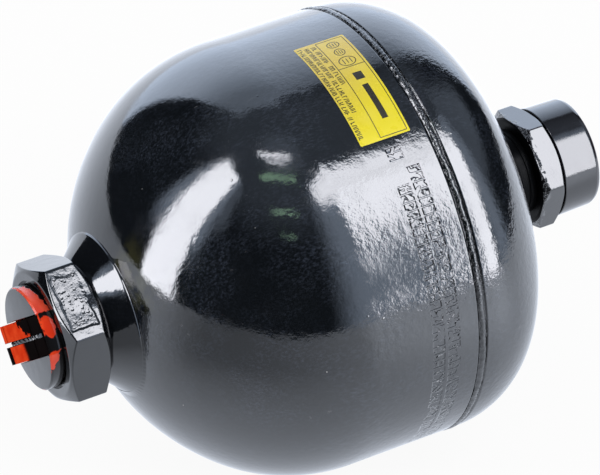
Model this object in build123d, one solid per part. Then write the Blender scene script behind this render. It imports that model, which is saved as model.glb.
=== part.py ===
"""Welded diaphragm accumulator, about one litre, with its transit plug and protective cap in place.

The vessel lies along X. The port's sealing face is at X = 0, +X runs to the gas end and +Z is up.
Sizes are millimetres. Profiles are drawn as (x, radius) and turned about the X axis.
"""
import os
from math import asin, atan2, cos, radians, sin, sqrt, tan

from build123d import *

# Vessel: two drawn heads, each an arc for the knuckle and an arc for the crown.
# A head is flatter than a half ball by its flattening, and its knuckle's centre lies off the axis.
VESSEL_R = 68.0
WALL = 7.0
FLUID_APEX_X = 17.1
FLUID_HEAD_FLATTENING = 6.6
FLUID_KNUCKLE_CENTRE_R = 13.3
CYLINDER_LENGTH = 34.4
GAS_RIM_LENGTH = 3.0
GAS_HEAD_FLATTENING = 30.7
GAS_KNUCKLE_CENTRE_R = 39.9

# Girth weld: a V through the wall with a low crown
WELD_TOP_WIDTH = 2.8
WELD_ROOT_WIDTH = 1.2
WELD_CROWN = 0.35

# Diaphragm, its clamped bead and the ring that holds it
RUBBER_GAP = 0.3
RUBBER_THICKNESS = 2.6
BEAD_SEAT_DEPTH = 2.4
BEAD_SHOULDER_TO_WELD = 14.0
BEAD_WIDTH = 5.5
RING_REACH_PAST_WELD = 6.0
RING_THICKNESS = 4.0
RING_CLEARANCE = 0.05
RING_SOFT_EDGE = 1.2

# Fluid port fitting
PORT_HEX_ACROSS_FLATS = 41.0
PORT_HEX_LENGTH = 13.5
PORT_HEX_FACE_R = 19.7
PORT_HEX_TURN = 30.0
HEX_CHAMFER_ANGLE = 30.0
PORT_NECK_R = 18.3
PORT_FLANGE_R = 25.2
PORT_FLANGE_EDGE = 1.0
PORT_FLANGE_BREAK = 0.4
PORT_FLARE_BEND = (0.54, 0.46)
PORT_FLANGE_SEAT = 6.2
SPIGOT_CLEARANCE = 0.05
PORT_THREAD_MINOR_R = 12.06
PORT_THREAD_DEPTH = 17.5
PORT_THREAD_CHAMFER = 1.2
PORT_SPOTFACE_R = 16.9
PORT_SPOTFACE_DEPTH = 1.3
PASSAGE_R = 7.5
BUTTON_SEAT_R = 12.0
BUTTON_SEAT_DEPTH = 3.6
PORT_WELD_WIDTH = 1.8
PORT_WELD_RECESS = 0.8
PORT_WELD_GAP = 0.6

# Closing button in the middle of the diaphragm
BUTTON_GAP = 0.3
BUTTON_STEM_R = 2.7
BUTTON_WASHER_R = 9.0
BUTTON_WASHER_THICKNESS = 1.5
BUTTON_RIVET_R = 4.4
BUTTON_RIVET_HEIGHT = 1.4

# Transit plug in the fluid port
PLUG_HEAD_R = 16.1
PLUG_HEAD_PROUD = 4.3
PLUG_HEAD_BREAK = 0.5
PLUG_SHANK_CLEARANCE = 0.08
PLUG_SHANK_LENGTH = 13.0
PLUG_WALL = 1.9
PLUG_SLOT_WIDTH = 12.6
PLUG_SLOT_DEPTH = 3.0
PLUG_BAR_WIDTH = 5.4
PLUG_BAR_GAP = 1.3
PLUG_BAR_PROUD = 2.4
PLUG_BAR_LENGTH = 23.0
PLUG_TAB_LENGTH = 2.2
PLUG_TAB_GAP = 1.2
PLUG_BAR_TURN = -42.6

# Gas boss, welded into the gas head
BOSS_NECK_R = 13.6
BOSS_SHOULDER = 1.4
BOSS_INSIDE = 2.0
BOSS_STAND_OFF = 10.5
BOSS_WELD_FOOT = 3.2
BOSS_WELD_ON_NECK = 1.2
BOSS_WELD_HOLLOW = 0.45
BOSS_THREAD_R = 10.2

# Charging valve body with its hexagon and nipple
VALVE_HEX_ACROSS_FLATS = 34.0
VALVE_HEX_LENGTH = 8.2
VALVE_HEX_FACE_R = 16.6
VALVE_HEX_TURN = 45.2
VALVE_SPIGOT_LENGTH = 15.0
THREAD_CLEARANCE = 0.05
NIPPLE_R = 14.0
NIPPLE_LENGTH = 9.0
NIPPLE_CHAMFER = 1.0
NIPPLE_RELIEF = 1.2
NIPPLE_RELIEF_LENGTH = 1.5
GAS_BORE_R = 1.5
CORE_BORE_R = 4.0
CORE_BORE_DEPTH = 17.0
SEAL_BORE_R = 7.0
SEAL_BORE_DEPTH = 7.0
BODY_RING_SECTION = 1.8
BODY_RING_GROOVE = 2.0

# Valve core
CORE_HOUSING_R = 3.95
CORE_HOUSING_LENGTH = 12.0
CORE_HOUSING_TOP_GAP = 1.2
CORE_HOUSING_BORE_R = 2.3
CORE_SHELF_X_FROM_FOOT = 2.0
CORE_SHELF_THICKNESS = 1.0
CORE_SHELF_BORE_R = 1.3
PIN_R = 1.0
PIN_COLLAR_R = 2.0
PIN_COLLAR_THICKNESS = 0.8
PIN_COLLAR_BELOW_TOP = 0.6
PIN_PROUD = 0.8
PIN_HEAD_R = 2.2
PIN_HEAD_THICKNESS = 0.8
CORE_SEAL_R = 2.8
CORE_SEAL_THICKNESS = 1.1
SPRING_WIRE_R = 0.24
SPRING_COIL_R = 1.62
SPRING_TURNS = 7

# Sealing plug over the core
SEALING_PLUG_CLEARANCE = 0.05
SEALING_PLUG_SOCKET = 6.0
SEALING_PLUG_SOCKET_DEPTH = 3.4
SEALING_RING_SECTION = 1.8
SEALING_RING_R = 5.6
SEALING_PLUG_BELOW_RIM = 0.3

# Protective cap
CAP_ROOT_R = 17.6
CAP_DRAFT = 0.3
CAP_LENGTH = 13.0
CAP_EDGE_R = 1.6
CAP_ROOT_BREAK = 0.3
CAP_BORE_CLEARANCE = 0.3
CAP_END_WALL = 2.4
CAP_SEAT_GAP = 0.05

# Rating label: a foil bent round the cylinder
LABEL_THICKNESS = 0.05
LABEL_GAP = 0.01
LABEL_TO_WELD = 5.8
LABEL_WIDTH = 16.6
LABEL_LENGTH = 43.0
LABEL_CENTRE_ANGLE = 10.5
LABEL_CORNER_R = 0.4

# How far a cutting tool, or a piece inside another, runs past the face it crosses
OVERRUN = 1.0

FLUID_HEAD_X = FLUID_APEX_X + VESSEL_R - FLUID_HEAD_FLATTENING
WELD_X = FLUID_HEAD_X + CYLINDER_LENGTH
GAS_HEAD_X = WELD_X + GAS_RIM_LENGTH
GAS_APEX_X = GAS_HEAD_X + VESSEL_R - GAS_HEAD_FLATTENING
SEAT_R = VESSEL_R - WALL + BEAD_SEAT_DEPTH
SHOULDER_X = WELD_X - BEAD_SHOULDER_TO_WELD
BEAD_END_X = SHOULDER_X + BEAD_WIDTH
RING_END_X = WELD_X + RING_REACH_PAST_WELD
PORT_WELD_OUTER_R = PORT_FLANGE_R - PORT_WELD_RECESS
PORT_WELD_INNER_R = PORT_WELD_OUTER_R - PORT_WELD_WIDTH
PORT_SPIGOT_R = PORT_FLANGE_R - PORT_FLANGE_SEAT
BOSS_SPIGOT_R = BOSS_NECK_R + BOSS_SHOULDER
BOSS_WELD_R = BOSS_SPIGOT_R + BOSS_WELD_FOOT
BOSS_FACE_X = GAS_APEX_X + BOSS_STAND_OFF
VALVE_TOP_X = BOSS_FACE_X + VALVE_HEX_LENGTH
NIPPLE_END_X = VALVE_TOP_X + NIPPLE_LENGTH
SEAL_FLOOR_X = NIPPLE_END_X - SEAL_BORE_DEPTH
CORE_FLOOR_X = SEAL_FLOOR_X - CORE_BORE_DEPTH
CORE_TOP_X = SEAL_FLOOR_X - CORE_HOUSING_TOP_GAP
CORE_FOOT_X = CORE_TOP_X - CORE_HOUSING_LENGTH
LABEL_END_X = WELD_X - LABEL_TO_WELD


class Head:
    """A drawn head: a knuckle arc from the cylinder and a crown arc over the axis, tangent to each other."""

    def __init__(self, rim_x, side, flattening, knuckle_centre):
        self.rim_x = rim_x
        self.side = side
        self.knuckle_centre = knuckle_centre
        self.knuckle = VESSEL_R - knuckle_centre
        depth = VESSEL_R - flattening
        rise = depth ** 2 + knuckle_centre ** 2 - self.knuckle ** 2
        self.crown = rise / (2 * (depth - self.knuckle))
        self.crown_centre = depth - self.crown
        self.tangent = atan2(self.knuckle_centre, -self.crown_centre)

    def at(self, along, radius):
        """A point given by its distance from the rim plane towards the apex, and its radius."""
        return (self.rim_x + self.side * along, radius)

    def crown_point(self, inset, radius):
        """The point of the crown, moved inwards by inset, at this radius."""
        r = self.crown - inset
        return self.at(self.crown_centre + sqrt(r * r - radius * radius), radius)

    def arcs(self, inset, radius):
        """The knuckle and crown arcs, moved inwards by inset, from the rim plane in to this radius."""
        knuckle = self.knuckle - inset
        crown = self.crown - inset
        half = (radians(90) + self.tangent) / 2
        start = self.at(0, VESSEL_R - inset)
        middle = self.at(knuckle * cos(half), self.knuckle_centre + knuckle * sin(half))
        joint = self.at(self.crown_centre + crown * cos(self.tangent), crown * sin(self.tangent))
        last = asin(radius / crown)
        half = (self.tangent + last) / 2
        over = self.at(self.crown_centre + crown * cos(half), crown * sin(half))
        end = self.crown_point(inset, radius)
        return [ThreePointArc(start, middle, joint), ThreePointArc(joint, over, end)], start, end

    def crown_arc(self, inset, radius_a, radius_b):
        """A stretch of the crown's arc, moved inwards by inset, between two radii."""
        middle = (radius_a + radius_b) / 2
        return ThreePointArc(*(self.crown_point(inset, r) for r in (radius_a, middle, radius_b)))


FLUID_HEAD = Head(FLUID_HEAD_X, -1, FLUID_HEAD_FLATTENING, FLUID_KNUCKLE_CENTRE_R)
GAS_HEAD = Head(GAS_HEAD_X, 1, GAS_HEAD_FLATTENING, GAS_KNUCKLE_CENTRE_R)


def turned(*points):
    """A solid of revolution about X from a closed outline of (x, radius) points."""
    return revolve(make_face(Polyline(*points, close=True)), Axis.X)


def turned_edges(edges):
    """A solid of revolution about X from the edges of a closed outline."""
    return revolve(make_face(edges), Axis.X)


def bar(x0, x1, radius):
    """A round bar on the X axis between two stations."""
    return turned((x0, 0), (x1, 0), (x1, radius), (x0, radius))


def tube(x0, x1, inner, outer):
    """A round tube on the X axis between two stations."""
    return turned((x0, inner), (x1, inner), (x1, outer), (x0, outer))


def o_ring(x, radius, section):
    """A rubber ring of round section, centred on the X axis."""
    return Pos(x, 0, 0) * Rot(0, 90, 0) * Torus(radius, section / 2)


def hexagon_bar(x0, length, across_flats, turn):
    """A hexagonal bar along X with a corner at this angle from +Y towards +Z."""
    corner_r = across_flats / sqrt(3)
    corners = [
        (0, corner_r * cos(radians(turn + 60 * k)), corner_r * sin(radians(turn + 60 * k)))
        for k in range(6)
    ]
    face = make_face(Polyline(*corners, close=True))
    return Pos(x0, 0, 0) * extrude(face, amount=length, dir=(1, 0, 0))


def chamfered_hexagon(x0, length, across_flats, face_r, turn):
    """A hexagon whose corners are turned off at both ends by a shallow cone."""
    corner_r = across_flats / sqrt(3) + OVERRUN
    run = (corner_r - face_r) * tan(radians(HEX_CHAMFER_ANGLE))
    x1 = x0 + length
    cones = turned((x0, 0), (x0, face_r), (x0 + run, corner_r), (x1 - run, corner_r), (x1, face_r), (x1, 0))
    return hexagon_bar(x0, length, across_flats, turn) & cones


def head_shell(head, to_x, hole_r):
    """A drawn head with its straight rim, open at the crown for a fitting."""
    outer, outer_start, outer_end = head.arcs(0, hole_r)
    inner, inner_start, inner_end = head.arcs(WALL, hole_r)
    rim = [
        Line(outer_start, (to_x, VESSEL_R)),
        Line((to_x, VESSEL_R), (to_x, VESSEL_R - WALL)),
        Line((to_x, VESSEL_R - WALL), inner_start),
    ]
    return turned_edges(outer + [Line(outer_end, inner_end)] + inner + rim)


def girth_weld():
    """The weld between the shells: a V through the wall, with a low crown outside."""
    top = WELD_TOP_WIDTH / 2
    root = WELD_ROOT_WIDTH / 2
    outline = [
        Line((WELD_X - root, SEAT_R), (WELD_X - top, VESSEL_R)),
        ThreePointArc((WELD_X - top, VESSEL_R), (WELD_X, VESSEL_R + WELD_CROWN), (WELD_X + top, VESSEL_R)),
        Line((WELD_X + top, VESSEL_R), (WELD_X + root, SEAT_R)),
        Line((WELD_X + root, SEAT_R), (WELD_X - root, SEAT_R)),
    ]
    return turned_edges(outline)


def fluid_shell():
    """The deep fluid head, bored at the rim for the bead and at the crown for the port fitting."""
    shell = head_shell(FLUID_HEAD, WELD_X, PORT_SPIGOT_R + SPIGOT_CLEARANCE)
    return shell - tube(SHOULDER_X, WELD_X + OVERRUN, 0, SEAT_R) - girth_weld()


def gas_shell():
    """The shallow gas head, bored at the rim for the clamp ring and at the crown for the boss."""
    shell = head_shell(GAS_HEAD, WELD_X, BOSS_SPIGOT_R + SPIGOT_CLEARANCE)
    return shell - tube(WELD_X - OVERRUN, RING_END_X, 0, SEAT_R) - girth_weld()


def clamp_ring():
    """The steel ring that presses the bead on its shoulder and backs the girth weld."""
    outer = SEAT_R - RING_CLEARANCE
    inner = outer - RING_THICKNESS
    return turned(
        (BEAD_END_X, inner + RING_SOFT_EDGE),
        (BEAD_END_X + RING_SOFT_EDGE, inner),
        (RING_END_X - RING_SOFT_EDGE, inner),
        (RING_END_X, inner + RING_SOFT_EDGE),
        (RING_END_X, outer),
        (BEAD_END_X, outer),
    )


def diaphragm():
    """The rubber diaphragm, laid along the fluid head by the gas charge, with its clamped bead."""
    outside = WALL + RUBBER_GAP
    inside = outside + RUBBER_THICKNESS
    hole_r = BUTTON_STEM_R + BUTTON_GAP
    outer, outer_start, outer_end = FLUID_HEAD.arcs(outside, hole_r)
    inner, inner_start, inner_end = FLUID_HEAD.arcs(inside, hole_r)
    bead_r = SEAT_R - RING_CLEARANCE
    corners = [
        outer_start,
        (SHOULDER_X, outer_start[1]),
        (SHOULDER_X, bead_r),
        (BEAD_END_X, bead_r),
        (BEAD_END_X, inner_start[1]),
        inner_start,
    ]
    rim = [Line(a, b) for a, b in zip(corners, corners[1:])]
    return turned_edges(outer + [Line(outer_end, inner_end)] + inner + rim)


def closing_button():
    """The button that shuts the port when no fluid is in, with its stem riveted over the washer."""
    top_x = FLUID_HEAD.crown_point(WALL, 0)[0]
    rim_x = FLUID_HEAD.crown_point(WALL, BUTTON_SEAT_R - BUTTON_GAP)[0]
    middle = FLUID_HEAD.crown_point(WALL, BUTTON_SEAT_R / 2)
    stem_x, stem_r = FLUID_HEAD.crown_point(WALL, BUTTON_STEM_R)
    foot_x = rim_x - BUTTON_SEAT_DEPTH + 2 * BUTTON_GAP
    washer_x = button_washer_x() + BUTTON_WASHER_THICKNESS
    end_x = washer_x + BUTTON_RIVET_HEIGHT
    corners = [
        (stem_x, stem_r),
        (washer_x, stem_r),
        (washer_x, BUTTON_RIVET_R),
        (end_x, BUTTON_RIVET_R - BUTTON_RIVET_HEIGHT / 2),
        (end_x, 0),
        (foot_x, 0),
        (foot_x, PASSAGE_R - BUTTON_GAP),
        (rim_x, BUTTON_SEAT_R - BUTTON_GAP),
    ]
    sides = [Line(a, b) for a, b in zip(corners, corners[1:])]
    crown = ThreePointArc(corners[-1], middle, corners[0])
    return turned_edges(sides + [crown])


def button_washer_x():
    """Where the washer starts: a running gap above the rubber's gas side."""
    rubber = WALL + RUBBER_GAP + RUBBER_THICKNESS
    return FLUID_HEAD.crown_point(rubber, BUTTON_WASHER_R)[0] + BUTTON_GAP


def button_washer():
    """The washer under the riveted stem, on the gas side."""
    x = button_washer_x()
    return tube(x, x + BUTTON_WASHER_THICKNESS, BUTTON_STEM_R + RING_CLEARANCE, BUTTON_WASHER_R)


def port_bore():
    """Everything bored out of the port fitting: spotface, thread, passage and the button's seat."""
    seat_x, seat_r = FLUID_HEAD.crown_point(WALL, BUTTON_SEAT_R)
    foot_x = seat_x - BUTTON_SEAT_DEPTH
    return turned(
        (-OVERRUN, 0),
        (-OVERRUN, PORT_SPOTFACE_R),
        (PORT_SPOTFACE_DEPTH, PORT_SPOTFACE_R),
        (PORT_SPOTFACE_DEPTH, PORT_THREAD_MINOR_R + PORT_THREAD_CHAMFER),
        (PORT_SPOTFACE_DEPTH + PORT_THREAD_CHAMFER, PORT_THREAD_MINOR_R),
        (PORT_THREAD_DEPTH, PORT_THREAD_MINOR_R),
        (PORT_THREAD_DEPTH + PORT_THREAD_CHAMFER, PASSAGE_R),
        (foot_x, PASSAGE_R),
        (seat_x, seat_r),
        (seat_x + WALL, seat_r),
        (seat_x + WALL, 0),
    )


def port_fitting():
    """The forged port: hexagon, neck, a flare that sits on the head, and a spigot through it."""
    hexagon = chamfered_hexagon(0, PORT_HEX_LENGTH, PORT_HEX_ACROSS_FLATS, PORT_HEX_FACE_R, PORT_HEX_TURN)
    lip = FLUID_HEAD.crown_point(-PORT_WELD_GAP, PORT_FLANGE_R)
    edge_x = lip[0] - PORT_FLANGE_EDGE
    flare_x = PORT_HEX_LENGTH
    along, out = PORT_FLARE_BEND
    bend = (flare_x + along * (edge_x - flare_x), PORT_NECK_R + out * (PORT_FLANGE_R - PORT_NECK_R))
    start = (PORT_SPOTFACE_DEPTH, 0)
    neck = (PORT_SPOTFACE_DEPTH, PORT_NECK_R)
    outline = [
        Line(start, neck),
        Line(neck, (flare_x, PORT_NECK_R)),
        ThreePointArc((flare_x, PORT_NECK_R), bend, (edge_x, PORT_FLANGE_R - PORT_FLANGE_BREAK)),
        Line((edge_x, PORT_FLANGE_R - PORT_FLANGE_BREAK), (edge_x + PORT_FLANGE_BREAK, PORT_FLANGE_R)),
        Line((edge_x + PORT_FLANGE_BREAK, PORT_FLANGE_R), lip),
        FLUID_HEAD.crown_arc(-PORT_WELD_GAP, PORT_FLANGE_R, PORT_WELD_INNER_R),
        Line(
            FLUID_HEAD.crown_point(-PORT_WELD_GAP, PORT_WELD_INNER_R),
            FLUID_HEAD.crown_point(0, PORT_WELD_INNER_R),
        ),
        FLUID_HEAD.crown_arc(0, PORT_WELD_INNER_R, PORT_SPIGOT_R),
        Line(FLUID_HEAD.crown_point(0, PORT_SPIGOT_R), FLUID_HEAD.crown_point(WALL, PORT_SPIGOT_R)),
        FLUID_HEAD.crown_arc(WALL, PORT_SPIGOT_R, 0),
        Line(FLUID_HEAD.crown_point(WALL, 0), start),
    ]
    return hexagon + turned_edges(outline) - port_bore()


def port_weld():
    """The ring of weld in the undercut between the flange and the head."""
    inner, outer = PORT_WELD_INNER_R, PORT_WELD_OUTER_R
    outline = [
        FLUID_HEAD.crown_arc(0, outer, inner),
        Line(FLUID_HEAD.crown_point(0, inner), FLUID_HEAD.crown_point(-PORT_WELD_GAP, inner)),
        FLUID_HEAD.crown_arc(-PORT_WELD_GAP, inner, outer),
        Line(FLUID_HEAD.crown_point(-PORT_WELD_GAP, outer), FLUID_HEAD.crown_point(0, outer)),
    ]
    return turned_edges(outline)


def plug_bar_block(x0, x1, length, offset, width):
    """A block of the plug's grip along the slot, at this offset across it."""
    block = Box(x1 - x0, length, width)
    return Pos((x0 + x1) / 2, 0, offset) * block


def transit_plug():
    """The moulded plug: a flat head, a slot with two grip bars and end tabs, and a hollow shank."""
    face_x = -PLUG_HEAD_PROUD
    head = turned(
        (face_x, 0),
        (face_x, PLUG_HEAD_R - PLUG_HEAD_BREAK),
        (face_x + PLUG_HEAD_BREAK, PLUG_HEAD_R),
        (PORT_SPOTFACE_DEPTH, PLUG_HEAD_R),
        (PORT_SPOTFACE_DEPTH, 0),
    )
    shank_r = PORT_THREAD_MINOR_R - PLUG_SHANK_CLEARANCE
    end_x = PORT_SPOTFACE_DEPTH + PLUG_SHANK_LENGTH
    shank = bar(PORT_SPOTFACE_DEPTH, end_x, shank_r) - bar(PORT_SPOTFACE_DEPTH, end_x, shank_r - PLUG_WALL)
    floor_x = face_x + PLUG_SLOT_DEPTH
    slot = plug_bar_block(face_x - OVERRUN, floor_x, 4 * PLUG_HEAD_R, 0, PLUG_SLOT_WIDTH)
    plug = head - slot + shank
    across = (PLUG_BAR_WIDTH + PLUG_BAR_GAP) / 2
    top_x = face_x - PLUG_BAR_PROUD
    tab_place = PLUG_BAR_LENGTH / 2 + PLUG_TAB_GAP + PLUG_TAB_LENGTH / 2
    for side in (-1, 1):
        plug += plug_bar_block(top_x, floor_x, PLUG_BAR_LENGTH, side * across, PLUG_BAR_WIDTH)
        for end in (-1, 1):
            tab = plug_bar_block(top_x, floor_x, PLUG_TAB_LENGTH, side * across, PLUG_BAR_WIDTH)
            plug += Pos(0, end * tab_place, 0) * tab
    return Rot(PLUG_BAR_TURN, 0, 0) * plug


def gas_boss():
    """The boss of the gas end: a spigot in the head, a neck and the threaded bore for the valve."""
    inside_x = GAS_HEAD.crown_point(WALL, BOSS_SPIGOT_R)[0] - BOSS_INSIDE
    step_x = GAS_HEAD.crown_point(0, BOSS_SPIGOT_R)[0]
    body = turned(
        (inside_x, 0),
        (inside_x, BOSS_SPIGOT_R),
        (step_x, BOSS_SPIGOT_R),
        (step_x + BOSS_SHOULDER, BOSS_NECK_R),
        (BOSS_FACE_X, BOSS_NECK_R),
        (BOSS_FACE_X, 0),
    )
    groove = bar(BOSS_FACE_X - BODY_RING_SECTION, BOSS_FACE_X, BOSS_THREAD_R + BODY_RING_GROOVE)
    return body - bar(inside_x, BOSS_FACE_X, BOSS_THREAD_R) - groove


def gas_boss_weld():
    """The fillet of weld between the boss and the gas head, with a hollow face."""
    foot = GAS_HEAD.crown_point(0, BOSS_WELD_R)
    inner = GAS_HEAD.crown_point(0, BOSS_SPIGOT_R)
    middle = GAS_HEAD.crown_point(0, (BOSS_WELD_R + BOSS_SPIGOT_R) / 2)
    neck_x = inner[0] + BOSS_SHOULDER
    top = (neck_x + BOSS_WELD_ON_NECK, BOSS_NECK_R)
    hollow = ((foot[0] + top[0]) / 2 - BOSS_WELD_HOLLOW, (foot[1] + top[1]) / 2 - BOSS_WELD_HOLLOW)
    outline = [
        Line(inner, (neck_x, BOSS_NECK_R)),
        Line((neck_x, BOSS_NECK_R), top),
        ThreePointArc(top, hollow, foot),
        ThreePointArc(foot, middle, inner),
    ]
    return turned_edges(outline)


def valve_body():
    """The charging valve's body: hexagon, spigot into the boss, and the nipple under the cap."""
    hexagon = chamfered_hexagon(
        BOSS_FACE_X, VALVE_HEX_LENGTH, VALVE_HEX_ACROSS_FLATS, VALVE_HEX_FACE_R, VALVE_HEX_TURN
    )
    foot_x = BOSS_FACE_X - VALVE_SPIGOT_LENGTH
    spigot = bar(foot_x, BOSS_FACE_X + OVERRUN, BOSS_THREAD_R - THREAD_CLEARANCE)
    nipple = turned(
        (VALVE_TOP_X - OVERRUN, 0),
        (VALVE_TOP_X - OVERRUN, NIPPLE_R - NIPPLE_RELIEF),
        (VALVE_TOP_X + NIPPLE_RELIEF_LENGTH, NIPPLE_R - NIPPLE_RELIEF),
        (VALVE_TOP_X + NIPPLE_RELIEF_LENGTH + NIPPLE_RELIEF, NIPPLE_R),
        (NIPPLE_END_X - NIPPLE_CHAMFER, NIPPLE_R),
        (NIPPLE_END_X, NIPPLE_R - NIPPLE_CHAMFER),
        (NIPPLE_END_X, 0),
    )
    bores = (
        bar(foot_x - OVERRUN, NIPPLE_END_X, GAS_BORE_R)
        + bar(CORE_FLOOR_X, NIPPLE_END_X, CORE_BORE_R)
        + bar(SEAL_FLOOR_X, NIPPLE_END_X + OVERRUN, SEAL_BORE_R)
    )
    return hexagon + spigot + nipple - bores


def core_housing():
    """The valve core's tube, with the shelf that carries the spring and guides the pin."""
    shelf_x = CORE_FOOT_X + CORE_SHELF_X_FROM_FOOT
    housing = tube(CORE_FOOT_X, CORE_TOP_X, CORE_HOUSING_BORE_R, CORE_HOUSING_R)
    foot = tube(CORE_FOOT_X, shelf_x + CORE_SHELF_THICKNESS, CORE_SHELF_BORE_R, CORE_HOUSING_BORE_R)
    return housing + foot


def pin_top_x():
    """The top of the core pin, which stands a little above its housing."""
    return CORE_TOP_X + PIN_PROUD


def core_pin():
    """The core's pin: a stem with the collar that the spring lifts and the head under the seal."""
    head_x = CORE_FOOT_X - CORE_SEAL_THICKNESS - PIN_HEAD_THICKNESS
    collar_x = CORE_TOP_X - PIN_COLLAR_BELOW_TOP - PIN_COLLAR_THICKNESS
    stem = bar(head_x, pin_top_x(), PIN_R)
    head = bar(head_x, head_x + PIN_HEAD_THICKNESS, PIN_HEAD_R)
    collar = bar(collar_x, collar_x + PIN_COLLAR_THICKNESS, PIN_COLLAR_R)
    return stem + head + collar


def core_seal():
    """The rubber washer on the pin's head, which closes the foot of the housing."""
    return tube(CORE_FOOT_X - CORE_SEAL_THICKNESS, CORE_FOOT_X, PIN_R, CORE_SEAL_R)


def core_spring():
    """The coil spring between the housing's shelf and the pin's collar."""
    low = CORE_FOOT_X + CORE_SHELF_X_FROM_FOOT + CORE_SHELF_THICKNESS + SPRING_WIRE_R
    high = CORE_TOP_X - PIN_COLLAR_BELOW_TOP - PIN_COLLAR_THICKNESS - SPRING_WIRE_R
    height = high - low
    path = Helix(pitch=height / SPRING_TURNS, height=height, radius=SPRING_COIL_R)
    section = Plane(origin=path @ 0, z_dir=path % 0) * Circle(SPRING_WIRE_R)
    return Pos(low, 0, 0) * Rot(0, 90, 0) * sweep(section, path=path, is_frenet=True)


def sealing_plug():
    """The screwed plug that seals the nipple, with a hexagon socket."""
    foot_x = SEAL_FLOOR_X + SEALING_RING_SECTION
    top_x = NIPPLE_END_X - SEALING_PLUG_BELOW_RIM
    body = bar(foot_x, top_x, SEAL_BORE_R - SEALING_PLUG_CLEARANCE)
    socket = hexagon_bar(top_x - SEALING_PLUG_SOCKET_DEPTH, SEALING_PLUG_SOCKET_DEPTH, SEALING_PLUG_SOCKET, 0)
    return body - socket


def protective_cap():
    """The moulded cap over the nipple: a light draft, a rounded edge and a plain bore."""
    root_x = VALVE_TOP_X + CAP_SEAT_GAP
    end_x = root_x + CAP_LENGTH
    end_r = CAP_ROOT_R - CAP_DRAFT
    turn = CAP_EDGE_R * (1 - cos(radians(45)))
    outline = [
        Line((root_x, 0), (root_x, CAP_ROOT_R - CAP_ROOT_BREAK)),
        Line((root_x, CAP_ROOT_R - CAP_ROOT_BREAK), (root_x + CAP_ROOT_BREAK, CAP_ROOT_R)),
        Line((root_x + CAP_ROOT_BREAK, CAP_ROOT_R), (end_x - CAP_EDGE_R, end_r)),
        ThreePointArc((end_x - CAP_EDGE_R, end_r), (end_x - turn, end_r - turn), (end_x, end_r - CAP_EDGE_R)),
        Line((end_x, end_r - CAP_EDGE_R), (end_x, 0)),
        Line((end_x, 0), (root_x, 0)),
    ]
    bore = bar(root_x, end_x - CAP_END_WALL, NIPPLE_R + CAP_BORE_CLEARANCE)
    return turned_edges(outline) - bore


def rating_label():
    """The foil label, cut out of a thin tube that lies on the cylinder."""
    inner = VESSEL_R + LABEL_GAP
    foil = tube(LABEL_END_X - LABEL_WIDTH, LABEL_END_X, inner, inner + LABEL_THICKNESS)
    half = LABEL_LENGTH / VESSEL_R / 2
    reach = 2 * VESSEL_R
    side, up = reach * sin(half), reach * cos(half)
    corners = [(0, 0, 0), (0, -side, up), (0, side, up)]
    wedge = extrude(make_face(Polyline(*corners, close=True)), amount=2 * WELD_X, dir=(1, 0, 0))
    label = foil & wedge
    edges = [e for e in label.edges() if e.length < 2 * LABEL_THICKNESS]
    return Rot(LABEL_CENTRE_ANGLE, 0, 0) * fillet(edges, LABEL_CORNER_R)


def build():
    """Every piece by the name of its node."""
    return {
        "fluid_shell": fluid_shell(),
        "gas_shell": gas_shell(),
        "girth_weld": girth_weld(),
        "clamp_ring": clamp_ring(),
        "diaphragm": diaphragm(),
        "closing_button": closing_button(),
        "button_washer": button_washer(),
        "port_fitting": port_fitting(),
        "port_weld": port_weld(),
        "transit_plug": transit_plug(),
        "gas_boss": gas_boss(),
        "gas_boss_weld": gas_boss_weld(),
        "valve_body": valve_body(),
        "valve_body_ring": o_ring(
            BOSS_FACE_X - BODY_RING_SECTION / 2, BOSS_THREAD_R + BODY_RING_GROOVE / 2, BODY_RING_SECTION
        ),
        "core_housing": core_housing(),
        "core_pin": core_pin(),
        "core_seal": core_seal(),
        "core_spring": core_spring(),
        "sealing_plug": sealing_plug(),
        "sealing_ring": o_ring(
            SEAL_FLOOR_X + SEALING_RING_SECTION / 2, SEALING_RING_R, SEALING_RING_SECTION
        ),
        "protective_cap": protective_cap(),
        "rating_label": rating_label(),
    }


os.makedirs("parts", exist_ok=True)
for name, shape in build().items():
    export_step(shape, f"parts/{name}.step")
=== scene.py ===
from math import asin, atan2, cos, pi, radians, sin, sqrt, tan

import bpy
import numpy as np
from mathutils import Matrix, Vector


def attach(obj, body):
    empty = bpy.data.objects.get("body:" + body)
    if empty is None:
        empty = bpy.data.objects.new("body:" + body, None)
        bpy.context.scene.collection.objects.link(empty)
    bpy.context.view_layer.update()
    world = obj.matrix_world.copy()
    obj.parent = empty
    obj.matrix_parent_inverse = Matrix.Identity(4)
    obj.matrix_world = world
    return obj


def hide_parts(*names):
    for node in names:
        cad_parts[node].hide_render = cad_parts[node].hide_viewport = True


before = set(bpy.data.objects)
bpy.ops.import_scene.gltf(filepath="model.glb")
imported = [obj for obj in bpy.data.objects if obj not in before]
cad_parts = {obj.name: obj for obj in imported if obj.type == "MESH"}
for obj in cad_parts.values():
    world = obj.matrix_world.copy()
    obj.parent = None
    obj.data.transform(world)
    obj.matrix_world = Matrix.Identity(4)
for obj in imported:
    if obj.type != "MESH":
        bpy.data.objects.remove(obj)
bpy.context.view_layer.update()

# The vessel lies along X with its port face at X = 0. Sizes below are millimetres, and meshes are metres.
MM = 0.001
VESSEL_R = 68.0
WALL = 7.0
FLUID_RIM_X = 78.5
FLUID_KNUCKLE = 54.7
FLUID_CROWN = 71.25
WELD_X = 112.9
GAS_RIM_X = 115.9
GAS_KNUCKLE = 28.1
GAS_CROWN = 119.222
SEAT_R = 63.4
SHOULDER_X = 98.9
RING_END_X = 118.9
WELD_HALF_TOP = 1.4
WELD_HALF_ROOT = 0.6
WELD_CROWN = 0.35
PORT_HOLE_R = 19.05
BOSS_HOLE_R = 15.05
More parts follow.
